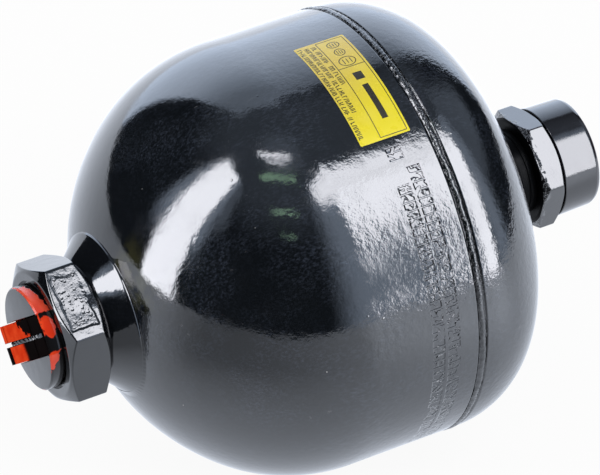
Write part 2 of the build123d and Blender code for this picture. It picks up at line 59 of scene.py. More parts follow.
PORT_HEX_LENGTH = 13.5
PORT_APOTHEM = 20.5
PORT_HEX_FACE_R = 19.7
PORT_HEX_TURN = 30.0
CHAMFER = 30.0
PORT_FLANGE_R = 25.2
PORT_NECK_R = 18.3
PORT_FLARE_BEND = (0.54, 0.46)
PORT_SPIGOT_R = 19.0
PORT_WELD_GAP = 0.2
PORT_WELD_INNER_R = 22.6
BOSS_FACE_X = 163.7
VALVE_HEX_LENGTH = 8.2
VALVE_APOTHEM = 17.0
VALVE_HEX_FACE_R = 16.6
VALVE_HEX_TURN = 45.2
CAP_ROOT_X = 171.95
CAP_LENGTH = 13.0
LABEL_X = (90.5, 107.1)
LABEL_R = (68.01, 68.06)
LABEL_CENTRE = 10.5
LABEL_LENGTH = 43.0
PLUG_BAR_TURN = -42.6
PLUG_RIM_R = 16.1
FLOOR_Z = -68.35


# Outlines and skins.
def soft_corners(corners, closed):
    """Outline through (x, radius, cut) corners.

    Each corner is a parabola from one cut length before it to one cut length after it, with a
    point beside each end that keeps the straight part flat. A corner with no cut is kept sharp.
    """
    spots = np.array([c[:2] for c in corners], float)
    parts = []
    for k, (x, r, cut) in enumerate(corners):
        here = spots[k]
        if cut == 0 or (not closed and k in (0, len(corners) - 1)):
            parts.append(here[None])
            continue
        before = spots[k - 1] - here
        after = spots[(k + 1) % len(corners)] - here
        before = before / np.hypot(*before)
        after = after / np.hypot(*after)
        t = np.linspace(0, 1, 6)[:, None]
        bend = (1 - t) ** 2 * (here + cut * before) + 2 * t * (1 - t) * here + t ** 2 * (here + cut * after)
        parts.append(np.vstack([here + 1.25 * cut * before, bend, here + 1.25 * cut * after]))
    return np.vstack(parts)


def arc_points(centre, radius, start, end, count):
    """Points (x, radius) on an arc about a centre, between two angles in degrees from +X."""
    a = np.radians(np.linspace(start, end, count))
    return np.stack([centre[0] + radius * np.cos(a), centre[1] + radius * np.sin(a)], -1)


def around(profile, columns):
    """Rows of points: each (x, radius) of the profile turned once about X, from +Y towards +Z."""
    a = np.linspace(0, 2 * pi, columns, endpoint=False)
    x, r = profile[:, :1], profile[:, 1:]
    return np.stack([x + 0 * a, r * np.cos(a), r * np.sin(a)], -1)


def skin(name, rows, loop):
    """A closed mesh over rows of points that each run once round.

    Quads join each row to the next. With loop the last row joins the first, and without it each
    end is closed by a fan to the middle of its row. Faces are turned outwards by the sign of the
    enclosed volume, the sum over triangles of a . (b x c) / 6.
    """
    count, columns = rows.shape[:2]
    ids = np.arange(count * columns).reshape(count, columns)
    turned = np.roll(ids, -1, axis=1)
    if loop:
        quads = np.stack([ids, turned, np.roll(turned, -1, axis=0), np.roll(ids, -1, axis=0)], -1)
    else:
        quads = np.stack([ids[:-1], turned[:-1], turned[1:], ids[1:]], -1)
    quads = quads.reshape(-1, 4)
    points = rows.reshape(-1, 3)
    fans = np.zeros((0, 3), int)
    if not loop:
        first, last = len(points), len(points) + 1
        points = np.vstack([points, rows[0].mean(axis=0), rows[-1].mean(axis=0)])
        near = np.stack([turned[0], ids[0], np.full(columns, first)], -1)
        far = np.stack([ids[-1], turned[-1], np.full(columns, last)], -1)
        fans = np.vstack([near, far])
    return solid(name, points, quads, fans)


def solid(name, points, quads, triangles=None):
    """A mesh from points in millimetres, quads and triangles, with its faces turned outwards."""
    triangles = np.zeros((0, 3), int) if triangles is None else triangles
    halves = np.vstack([quads[:, [0, 1, 2]], quads[:, [0, 2, 3]], triangles])
    a, b, c = (points[halves[:, k]] for k in range(3))
    if np.einsum("ij,ij->", a, np.cross(b, c)) < 0:
        quads, triangles = quads[:, ::-1], triangles[:, ::-1]
    mesh = bpy.data.meshes.new(name)
    corners = np.concatenate([quads.ravel(), triangles.ravel()]).astype(np.int32)
    sizes = np.concatenate([np.full(len(quads), 4), np.full(len(triangles), 3)])
    mesh.vertices.add(len(points))
    mesh.vertices.foreach_set("co", (points * MM).astype(np.float32).ravel())
    mesh.loops.add(len(corners))
    mesh.loops.foreach_set("vertex_index", corners)
    mesh.polygons.add(len(sizes))
    mesh.polygons.foreach_set("loop_start", (np.cumsum(sizes) - sizes).astype(np.int32))
    mesh.polygons.foreach_set("use_smooth", np.ones(len(sizes), bool))
    mesh.update(calc_edges=True)
    mesh.validate()
    return mesh


def piece(mesh, body, material, nodes=(), crease=40):
    """A visible piece that rides on a body, takes a material and stands for CAD nodes."""
    made = bpy.data.objects.new(mesh.name, mesh)
    bpy.context.scene.collection.objects.link(made)
    mesh.materials.append(material)
    mesh.set_sharp_from_angle(angle=radians(crease))
    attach(made, body)
    if nodes:
        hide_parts(*nodes)
    return made


def second_finish(made, material, chosen):
    """Gives another material to the faces whose middles, in millimetres, are chosen."""
    mesh = made.data
    middles = np.empty(3 * len(mesh.polygons), np.float32)
    mesh.polygons.foreach_get("center", middles)
    mesh.materials.append(material)
    mesh.polygons.foreach_set("material_index", chosen(middles.reshape(-1, 3) / MM).astype(np.int32))


# Shapes of the pieces.
def head_profile(rim_x, side, knuckle, crown, inset, hole_r, counts):
    """Outline of a drawn head from its rim plane to the hole in its crown.

    The knuckle is an arc whose centre lies in the rim plane at vessel radius less knuckle radius.
    The crown is an arc centred on the axis. They meet where the line through both centres crosses.
    """
    lift = VESSEL_R - knuckle
    reach = sqrt((crown - knuckle) ** 2 - lift ** 2)
    meet = np.degrees(atan2(lift, reach))
    bend = arc_points((0, lift), knuckle - inset, 90, meet, counts[0])
    last = np.degrees(asin(hole_r / (crown - inset)))
    top = arc_points((-reach, 0), crown - inset, meet, last, counts[1])
    both = np.vstack([bend, top[1:]])
    return np.stack([rim_x + side * both[:, 0], both[:, 1]], -1)


def crown_x(radius, inset=0):
    """X of the fluid head's crown, moved inwards by inset, at a radius."""
    centre = FLUID_RIM_X + sqrt((FLUID_CROWN - FLUID_KNUCKLE) ** 2 - (VESSEL_R - FLUID_KNUCKLE) ** 2)
    return centre - np.sqrt((FLUID_CROWN - inset) ** 2 - np.square(radius))


def fluid_shell_mesh():
    """The deep head and cylinder: outer skin, softened edge at the weld, bead seat and inner skin."""
    outer = head_profile(FLUID_RIM_X, -1, FLUID_KNUCKLE, FLUID_CROWN, 0, PORT_HOLE_R, (76, 46))
    inner = head_profile(FLUID_RIM_X, -1, FLUID_KNUCKLE, FLUID_CROWN, WALL, PORT_HOLE_R, (24, 12))
    edge_x = WELD_X - WELD_HALF_TOP
    straight = np.stack([np.linspace(edge_x - 1.2, FLUID_RIM_X, 14), np.full(14, VESSEL_R)], -1)
    rim = soft_corners(
        [(edge_x - 1.2, VESSEL_R, 0), (edge_x, VESSEL_R, 0.45), (WELD_X - WELD_HALF_ROOT, SEAT_R, 0)], False
    )
    seat = np.array([(SHOULDER_X, SEAT_R), (SHOULDER_X, VESSEL_R - WALL)])
    profile = np.vstack([rim[::-1][:-1], straight, outer[1:], inner[::-1], seat[::-1]])
    return skin("fluid_shell_skin", around(profile, 480), True)


def gas_shell_mesh():
    """The shallow head with its short rim: outer skin, softened edge at the weld, ring seat and inner skin."""
    outer = head_profile(GAS_RIM_X, 1, GAS_KNUCKLE, GAS_CROWN, 0, BOSS_HOLE_R, (60, 44))
    inner = head_profile(GAS_RIM_X, 1, GAS_KNUCKLE, GAS_CROWN, WALL, BOSS_HOLE_R, (20, 14))
    edge_x = WELD_X + WELD_HALF_TOP
    rim = soft_corners(
        [(GAS_RIM_X - 0.2, VESSEL_R, 0), (edge_x, VESSEL_R, 0.45), (WELD_X + WELD_HALF_ROOT, SEAT_R, 0)], False
    )
    seat = np.array([(RING_END_X, SEAT_R), (RING_END_X, inner_radius_at(RING_END_X))])
    keep = inner[:, 0] > RING_END_X
    profile = np.vstack([rim[::-1], outer, inner[keep][::-1], seat[::-1]])
    return skin("gas_shell_skin", around(profile, 480), True)


def inner_radius_at(x):
    """Radius of the gas head's inner knuckle at a station just past its rim plane."""
    return VESSEL_R - GAS_KNUCKLE + sqrt((GAS_KNUCKLE - WALL) ** 2 - (x - GAS_RIM_X) ** 2)


def girth_weld_mesh():
    """The weld bead: a low ridge between two undercut edges.

    Across the bead, u from -1 to 1, the height is crown (1 - (v / 0.6)^2) in the middle less a dip near
    each edge, where v is u with a small wander. Round the vessel the ridge is cut back by ripples, a sum
    of sines whose phase wanders, and it never rises past the crown.
    """
    columns = 2160
    a = np.linspace(0, 2 * pi, columns, endpoint=False)
    u = np.linspace(-1, 1, 23)[:, None]
    ripple = 0.5 + 0.5 * np.sin(310 * a + 1.6 * np.sin(7 * a) + 2.2 * u ** 2 + 0.9 * np.sin(31 * a + 2))
    knots = 0.5 + 0.5 * np.sin(97 * a + 2.4 * np.sin(13 * a + 1) + 1.1 * np.sin(41 * a))
    swell = 0.5 + 0.5 * np.sin(23 * a + 2.0 * np.sin(5 * a + 1))
    wander = 0.16 * np.sin(9 * a + 1) + 0.10 * np.sin(43 * a + 2 * np.sin(3 * a)) + 0.06 * np.sin(131 * a)
    v = u + wander * (1 - u ** 2)
    ridge = WELD_CROWN * (1 - np.minimum(np.abs(v) / 0.60, 1) ** 2)
    groove = 0.42 * np.exp(-(((np.abs(v) - 0.80) / 0.16) ** 2)) * (0.65 + 0.35 * swell)
    height = ridge * (0.62 + 0.20 * swell + 0.18 * knots - 0.16 * ripple * (1 - u ** 2)) - groove
    height = np.minimum(height, WELD_CROWN - 0.02)
    height[[0, -1]] = -0.04
    top = np.stack([WELD_X + WELD_HALF_TOP * u + 0 * a, (VESSEL_R + height) * np.cos(a), (VESSEL_R + height) * np.sin(a)], -1)
    root = around(np.array([(WELD_X + WELD_HALF_ROOT, SEAT_R), (WELD_X - WELD_HALF_ROOT, SEAT_R)]), columns)
    return skin("girth_weld_bead", np.concatenate([top, root]), True)


def flats(apothem, turn, columns, soft=0.16):
    """Radius of a hexagon at each angle round X, with its corners eased.

    A side's distance along a ray is apothem / cos(angle from the side's middle). The least of the
    six is softened by -soft log of the sum of exp(-distance / soft).
    """
    a = np.linspace(0, 2 * pi, columns, endpoint=False)
    middles = np.radians(turn + 30 + 60 * np.arange(6))
    facing = np.cos(a[:, None] - middles)
    distance = apothem / np.maximum(facing, 0.2)
    return -soft * np.log(np.exp(-distance / soft).sum(axis=1))


def hexagon_rows(x0, length, apothem, face_r, turn, columns, soft=0.10):
    """Rows of a hexagon whose corners are turned off at both ends.

    The radius is the softened least of the hexagon and a cone: face radius plus the distance from
    the nearer end divided by the tangent of the chamfer angle.
    """
    run = (apothem / cos(radians(30)) + 0.6 - face_r) * tan(radians(CHAMFER))
    near = np.linspace(0, run, 20)
    x = np.concatenate([near, np.linspace(run, length - run, 5)[1:-1], (length - near)[::-1]])
    cone = face_r + np.minimum(x, length - x) / tan(radians(CHAMFER))
    hexagon = flats(apothem, turn, columns)
    radius = -soft * np.log(np.exp(-cone[:, None] / soft) + np.exp(-hexagon[None] / soft))
    a = np.linspace(0, 2 * pi, columns, endpoint=False)
    return np.stack([x0 + x[:, None] + 0 * a, radius * np.cos(a), radius * np.sin(a)], -1)


def threaded_rows(x0, x1, root_r, depth, pitch, columns, per_turn=6):
    """Rows of a thread along X: the radius is the root plus depth times a triangle wave of x / pitch less the turn."""
    x = np.linspace(x0, x1, int(abs(x1 - x0) / pitch * per_turn))[:, None]
    a = np.linspace(0, 2 * pi, columns, endpoint=False)
    wave = np.abs(((x / pitch - a / (2 * pi)) % 1) * 2 - 1)
    fade = np.clip(np.minimum(x - min(x0, x1), max(x0, x1) - x) / pitch, 0, 1)
    radius = root_r + depth * wave * fade
    return np.stack([x + 0 * a, radius * np.cos(a), radius * np.sin(a)], -1)


def port_fitting_mesh():
    """The forged port: hexagon, neck, flare and flange outside, and spotface, thread and passage inside."""
    columns = 576
    lip_x = crown_x(PORT_FLANGE_R, -PORT_WELD_GAP)
    edge_x = lip_x - 0.7
    along, out = PORT_FLARE_BEND
    bend = np.array([PORT_HEX_LENGTH + along * (edge_x - PORT_HEX_LENGTH), PORT_NECK_R + out * (PORT_FLANGE_R - PORT_NECK_R)])
    start, end = np.array([PORT_HEX_LENGTH, PORT_NECK_R]), np.array([edge_x, PORT_FLANGE_R - 0.3])
    centre, radius = circle_through(start, bend, end)
    turn = [np.degrees(atan2(p[1] - centre[1], p[0] - centre[0])) for p in (start, end)]
    flare = arc_points(centre, radius, turn[0], turn[1], 22)
    flange = soft_corners([(*flare[-2], 0), (*end, 0.15), (edge_x + 0.3, PORT_FLANGE_R, 0.15), (lip_x, PORT_FLANGE_R, 0)], False)[1:]
    under = np.linspace(PORT_FLANGE_R, PORT_WELD_INNER_R, 4)
    seat = np.linspace(PORT_WELD_INNER_R, PORT_SPIGOT_R, 4)
    spigot = np.linspace(PORT_SPIGOT_R, 12.0, 8)
    foot = np.vstack([
        np.stack([crown_x(under, -PORT_WELD_GAP), under], -1)[1:],
        np.stack([crown_x(seat), seat], -1),
        np.stack([crown_x(spigot, WALL), spigot], -1),
        [(crown_x(12.0, WALL) - 3.6, 7.5), (18.7, 7.5), (17.5, 12.06)],
    ])
    rim = soft_corners([(1.3, 14.0, 0), (1.3, 16.9, 0.15), (0, 16.9, 0.25), (0, 19.0, 0)], False)
    rows = [
        around(rim, columns),
        hexagon_rows(0, PORT_HEX_LENGTH, PORT_APOTHEM, PORT_HEX_FACE_R, PORT_HEX_TURN, columns),
        around(np.vstack([[(PORT_HEX_LENGTH, 18.9)], flare[:-1], flange]), columns),
        around(foot, columns),
        threaded_rows(17.3, 2.6, 12.06, 1.0, 1.814, columns),
        around(np.array([(2.5, 12.06), (1.3, 13.26)]), columns),
    ]
    return skin("port_fitting_forging", np.concatenate(rows), True)


def circle_through(a, b, c):
    """Centre and radius of the circle through three points, from the two chords' right bisectors."""
    system = 2 * np.array([b - a, c - a])
    centre = np.linalg.solve(system, [b @ b - a @ a, c @ c - a @ a])
    return centre, np.hypot(*(a - centre))


def port_weld_mesh():
    """The weld under the flange: it fills the undercut and runs out on the head as a hollow fillet.

    At each angle the face is a parabola from a toe on the head to a top on the flange's edge. The toe
    stands out past the flange by a width that swells from the upper side to the lower side as a raised
    cosine, and the top climbs the edge by a share of it. Ripples, a sine of the angle, cut the face back.
    """
    columns = 960
    a = np.linspace(0, 2 * pi, columns, endpoint=False)
    low_side = 0.5 - 0.5 * np.cos(a - radians(75))
    width = 0.12 + 2.0 * low_side ** 2
    toe_r = PORT_FLANGE_R + width
    toe_x = crown_x(toe_r, 0.03)
    top_r = PORT_FLANGE_R - 0.03 - 0.46 * low_side ** 2
    top_x = crown_x(top_r, -PORT_WELD_GAP) - 0.05 - 0.75 * low_side ** 2
    corner_r = PORT_FLANGE_R + 0.45 * width
    corner_x = crown_x(corner_r, -0.02)
    t = np.linspace(0, 1, 12)[:, None]
    cut = 0.03 * np.sin(pi * t) * (0.5 + 0.5 * np.sin(88 * a + 1.4 * np.sin(6 * a))) * np.minimum(width, 1)
    x = (1 - t) ** 2 * toe_x + 2 * t * (1 - t) * corner_x + t ** 2 * top_x + cut
    r = (1 - t) ** 2 * toe_r + 2 * t * (1 - t) * corner_r + t ** 2 * top_r - cut
    face = np.stack([x, r * np.cos(a), r * np.sin(a)], -1)
    inner = np.array([(crown_x(PORT_WELD_INNER_R, -PORT_WELD_GAP), PORT_WELD_INNER_R), (crown_x(PORT_WELD_INNER_R), PORT_WELD_INNER_R)])
    upper = np.array([(crown_x(PORT_FLANGE_R - 0.1, -PORT_WELD_GAP), PORT_FLANGE_R - 0.1)])
    return skin("port_weld_bead", np.concatenate([face, around(np.vstack([upper, inner]), columns)]), True)


def valve_body_mesh():
    """The charging valve's body: spigot, hexagon, threaded nipple and stepped bores."""
    columns = 480
    top = BOSS_FACE_X + VALVE_HEX_LENGTH
    rows = [
        around(np.array([(148.7, 1.5), (148.7, 9.4), (149.5, 10.15), (BOSS_FACE_X, 10.15), (BOSS_FACE_X, 15.9)]), columns),
        hexagon_rows(BOSS_FACE_X, VALVE_HEX_LENGTH, VALVE_APOTHEM, VALVE_HEX_FACE_R, VALVE_HEX_TURN, columns),
        around(np.array([(top, 15.9), (top, 12.8), (top + 1.5, 12.8), (top + 2.2, 13.1)]), columns),
        threaded_rows(top + 2.2, 180.2, 13.08, 0.9, 1.5, columns),
        around(soft_corners([(180.2, 13.1, 0), (180.9, 12.9, 0.2), (180.9, 7.0, 0.2), (173.9, 7.0, 0), (173.9, 4.0, 0), (156.9, 4.0, 0), (156.9, 1.5, 0)], False), columns),
    ]
    return skin("valve_body_turning", np.concatenate(rows), True)


def gas_boss_mesh():
    """The boss: spigot, shoulder, neck with turning marks, and the bore with the ring's groove."""
    corners = [
        (144.4, 10.2, 0.2), (144.4, 15.0, 0.3), (152.25, 15.0, 0), (153.65, 13.6, 0), (BOSS_FACE_X - 2.4, 13.6, 0.15),
        (BOSS_FACE_X - 2.4, 13.25, 0.1), (BOSS_FACE_X - 1.9, 13.25, 0.1), (BOSS_FACE_X - 1.9, 13.6, 0.15),
        (BOSS_FACE_X, 13.6, 0.15), (BOSS_FACE_X, 12.2, 0), (BOSS_FACE_X - 1.8, 12.2, 0), (BOSS_FACE_X - 1.8, 10.2, 0),
    ]
    return skin("gas_boss_turning", around(soft_corners(corners, True), 240), True)


def gas_boss_weld_mesh():
    """The fillet weld round the boss: a hollow face between toe and neck, with ripples round it.

    The face is a parabola from the toe on the head to the top on the neck. It is cut back by a
    sine of the angle, strongest in the middle.
    """
    centre = GAS_RIM_X - sqrt((GAS_CROWN - GAS_KNUCKLE) ** 2 - (VESSEL_R - GAS_KNUCKLE) ** 2)
    columns = 720
    a = np.linspace(0, 2 * pi, columns, endpoint=False)
    toe = np.array([centre + sqrt(GAS_CROWN ** 2 - 18.2 ** 2), 18.2])
    inner = np.array([centre + sqrt(GAS_CROWN ** 2 - 15.0 ** 2), 15.0])
    top = np.array([inner[0] + 2.6, 13.6])
    middle = (toe + top) / 2 - 0.8
    t = np.linspace(0, 1, 14)[:, None]
    face = (1 - t) ** 2 * toe + 2 * t * (1 - t) * middle + t ** 2 * top
    cut = 0.14 * np.sin(pi * t) * (0.5 + 0.5 * np.sin(64 * a + 1.3 * np.sin(5 * a) + 2 * t))
    x = face[:, :1] - cut
    r = face[:, 1:] - cut
    rows = np.stack([x, r * np.cos(a), r * np.sin(a)], -1)
    back = around(np.array([(inner[0] + 1.4, 13.6), inner]), columns)
    return skin("gas_boss_weld_bead", np.concatenate([rows, back]), True)


def cap_mesh():
    """The moulded cap: light draft, rounded edge, shallow step at the root, and a plain bore with ribs of thread."""
    end = CAP_ROOT_X + CAP_LENGTH
    outside = soft_corners(
        [(CAP_ROOT_X, 14.3, 0.2), (CAP_ROOT_X, 17.6, 0.3), (end - 1.6, 17.32, 0.3), (end - 0.45, 16.85, 0.45), (end, 15.7, 0.5)],
        False,
    )
    crown = np.array([(end, 15.0), (end - 0.02, 8.0), (end - 0.02, 3.0)])
    rows = around(np.vstack([outside, crown]), 360)
    floor_x = end - 2.4
    inside = np.array([(floor_x, 4.0), (floor_x, 13.6), (floor_x - 0.4, 14.3), (CAP_ROOT_X + 0.5, 14.3)])
    closed = np.concatenate([rows, around(np.array([(end - 0.02, 0.02), (floor_x, 0.02)]), 360), around(inside, 360)])
    return skin("protective_cap_moulding", closed, True)


def label_rows(x0, x1, r0, r1, angle, length, corner):
    """Rows of a thin patch bent round the cylinder, in order along its arc.

    Each row is the patch's cross section: its width along X at radius r1 and back at r0. Near the ends the
    width narrows by corner - sqrt(corner^2 - (corner - distance to the end)^2), which rounds the corners.
    """
    half = length / 2
    eased = corner * (1 - np.cos(np.linspace(0, pi / 2, 8)))
    along = np.concatenate([eased, np.linspace(corner, length - corner, 60)[1:-1], (length - eased)[::-1]])
    to_end = np.minimum(np.minimum(along, length - along), corner)
    narrow = corner - np.sqrt(np.maximum(corner ** 2 - (corner - to_end) ** 2, 0))
    narrow = np.minimum(narrow, corner - 0.02)
    turn = np.radians(angle) + (along - half) / r1
    w = np.linspace(0, 1, 13)
    low, high = (x0 + narrow)[:, None], (x1 - narrow)[:, None]
    x = np.concatenate([low + (high - low) * w, high - (high - low) * w], axis=1)
    r = np.concatenate([np.full(13, r1), np.full(13, r0)])
    a = turn[:, None]
    return np.stack([x, -r * np.sin(a), r * np.cos(a)], -1)


def bars_mesh(name, bars, r0, r1, stations):
    """Thin printed bars bent round the cylinder.

    Each bar is (x, arc place, width along X, length along the arc, turn). A bar is a strip of stations;
    a station's corners are its middle plus half the width along the bar's own cross direction, turned in
    the flat pattern, and then rolled on to the cylinder: angle = arc place / radius.
    """
    b = np.array(bars, float)
    s = np.linspace(-0.5, 0.5, stations)
    x, arc, width, length, turn = (b[:, k, None, None] for k in range(5))
    c, d = np.cos(np.radians(turn)), np.sin(np.radians(turn))
    lengthwise = length * s[None, :, None]
    across = width * np.array([-0.5, 0.5, 0.5, -0.5])[None, None, :]
    px = x + across * c - lengthwise * d
    pa = arc + across * d + lengthwise * c
    r = np.array([r1, r1, r0, r0]) + 0 * px
    a = np.radians(LABEL_CENTRE) + pa / r1
    points = np.stack([px, -r * np.sin(a), r * np.cos(a)], -1)
    count = len(b)
    ids = np.arange(count * stations * 4).reshape(count, stations, 4)
    nxt = np.roll(ids, -1, axis=2)
    sides = np.stack([ids[:, :-1], nxt[:, :-1], nxt[:, 1:], ids[:, 1:]], -1).reshape(-1, 4)
    ends = np.concatenate([ids[:, 0, ::-1], ids[:, -1]])
    return solid(name, points.reshape(-1, 3), np.vstack([sides, ends]))


def ring_bars(x, arc, radius_x, radius_a, width, count=24):
    """Short bars that follow an oval outline on the label."""
    t = np.linspace(0, 360, count, endpoint=False)
    c, d = np.cos(np.radians(t)), np.sin(np.radians(t))
    step = 2 * pi * max(radius_x, radius_a) / count * 1.1
    direction = np.degrees(np.arctan2(radius_x * d, radius_a * c))
    return [(x + radius_x * ci, arc + radius_a * di, width, step, k) for ci, di, k in zip(c, d, direction)]


def plug_rim_end_mesh():
    """The thin end of the rim that closes the plug's slot: an eased section turned through an arc round X."""
    section = np.array([(-1.15, 15.05), (-1.15, PLUG_RIM_R), (-3.80, PLUG_RIM_R), (-4.00, PLUG_RIM_R - 0.06), (-4.20, PLUG_RIM_R - 0.26),
                        (-4.28, PLUG_RIM_R - 0.5), (-4.28, 15.05)])
    a = np.radians(np.linspace(113.4, 161.4, 49))[:, None]
    x, r = section[:, 0], section[:, 1]
    return skin("transit_plug_rim_end", np.stack([x + 0 * a, r * np.cos(a), r * np.sin(a)], -1), False)


def plug_flash_mesh():
    """Torn moulding flash between the two bars: a thin wall whose top wanders by a sum of sines along the bars."""
    along = np.linspace(-14.7, 11.4, 260)[:, None]
    top = -5.75 + 0.30 * np.sin(1.1 * along + 1.9 * np.sin(0.53 * along)) + 0.12 * np.sin(2.9 * along + 2.0 * np.sin(1.3 * along))
    across = np.array([-0.62, 0.62, 0.62, 0.25, -0.20, -0.62])
    lift = np.array([0, 0, 0.10, -0.16, 0.06, -0.10])
    x = np.where(np.arange(6) < 2, -1.35, top + lift * (1 + np.sin(1.7 * along + np.arange(6))))
    turn = radians(PLUG_BAR_TURN)
    y, z = along * cos(turn) - across * sin(turn), along * sin(turn) + across * cos(turn)
    return skin("transit_plug_flash", np.stack([x, y, z], -1), False)


def smooth_copy(node, name, width):
    """A merged copy of a CAD node's mesh with its edges eased by a bevel."""
    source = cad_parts[node]
    mesh = source.data.copy()
    mesh.name = name
    mesh.transform(source.matrix_world)
    made = bpy.data.objects.new(name, mesh)
    bpy.context.scene.collection.objects.link(made)
    weld = made.modifiers.new("merge", "WELD")
    weld.merge_threshold = 0.00001
    flat = made.modifiers.new("flat", "DECIMATE")
    flat.decimate_type = "DISSOLVE"
    flat.angle_limit = radians(0.5)
    ease = made.modifiers.new("ease", "BEVEL")
    ease.width = width * MM
    ease.segments = 3
    ease.limit_method = "ANGLE"
    ease.angle_limit = radians(35)
    done = bpy.data.meshes.new_from_object(made.evaluated_get(bpy.context.evaluated_depsgraph_get()))
    bpy.data.objects.remove(made)
    done.name = name
    done.materials.clear()
    done.polygons.foreach_set("use_smooth", np.ones(len(done.polygons), bool))
    return done


# Helpers for shaders.
class Graph:
    """Short calls for building a node tree: every call returns the socket that carries its result."""

    def __init__(self, tree):
        self.tree = tree

    def node(self, kind, inputs=None, output=0, **settings):
        made = self.tree.nodes.new(kind)
        for key, value in settings.items():
            setattr(made, key, value)
        for key, value in (inputs or {}).items():
            self.feed(made.inputs[key], value)
        return made if output is None else made.outputs[output]

    def feed(self, socket, value):
        if isinstance(value, bpy.types.NodeSocket):
            self.tree.links.new(value, socket)
        elif value is not None:
            socket.default_value = value

    def math(self, operation, a, b=None, c=None, clamp=False):
        inputs = {k: v for k, v in enumerate((a, b, c)) if v is not None}
        return self.node("ShaderNodeMath", inputs, operation=operation, use_clamp=clamp)

    def ramp(self, value, low, high, to_low=0.0, to_high=1.0, kind="SMOOTHSTEP"):
        inputs = {"Value": value, "From Min": low, "From Max": high, "To Min": to_low, "To Max": to_high}
        return self.node("ShaderNodeMapRange", inputs, interpolation_type=kind)

    def noise(self, vector, scale, detail=2.0, roughness=0.5, distortion=0.0):
        inputs = {"Vector": vector, "Scale": scale, "Detail": detail, "Roughness": roughness, "Distortion": distortion}
        return self.node("ShaderNodeTexNoise", inputs)

    def cells(self, vector, scale, feature="F1", randomness=1.0):
        inputs = {"Vector": vector, "Scale": scale, "Randomness": randomness}
        return self.node("ShaderNodeTexVoronoi", inputs, feature=feature)

    def mix(self, factor, a, b):
        return self.node("ShaderNodeMix", {0: factor, 6: a, 7: b}, output=2, data_type="RGBA")

    def bump(self, height, distance, normal=None, strength=1.0):
        inputs = {"Height": height, "Distance": distance, "Strength": strength}
        if normal is not None:
            inputs["Normal"] = normal
        return self.node("ShaderNodeBump", inputs)


def new_group(name, inputs, outputs):
    """A shader node group with named float, vector or colour sockets. Returns the tree, its graph and its input sockets."""
    tree = bpy.data.node_groups.new(name, "ShaderNodeTree")
    for label, kind, value in inputs:
        socket = tree.interface.new_socket(label, in_out="INPUT", socket_type=kind)
        if value is not None:
            socket.default_value = value
    for label, kind in outputs:
        tree.interface.new_socket(label, in_out="OUTPUT", socket_type=kind)
    entry = tree.nodes.new("NodeGroupInput")
    return tree, Graph(tree), entry.outputs


def close_group(tree, results):
    """Feeds the group's outputs."""
    leave = tree.nodes.new("NodeGroupOutput")
    for label, value in results.items():
        tree.links.new(value, leave.inputs[label])
    return tree


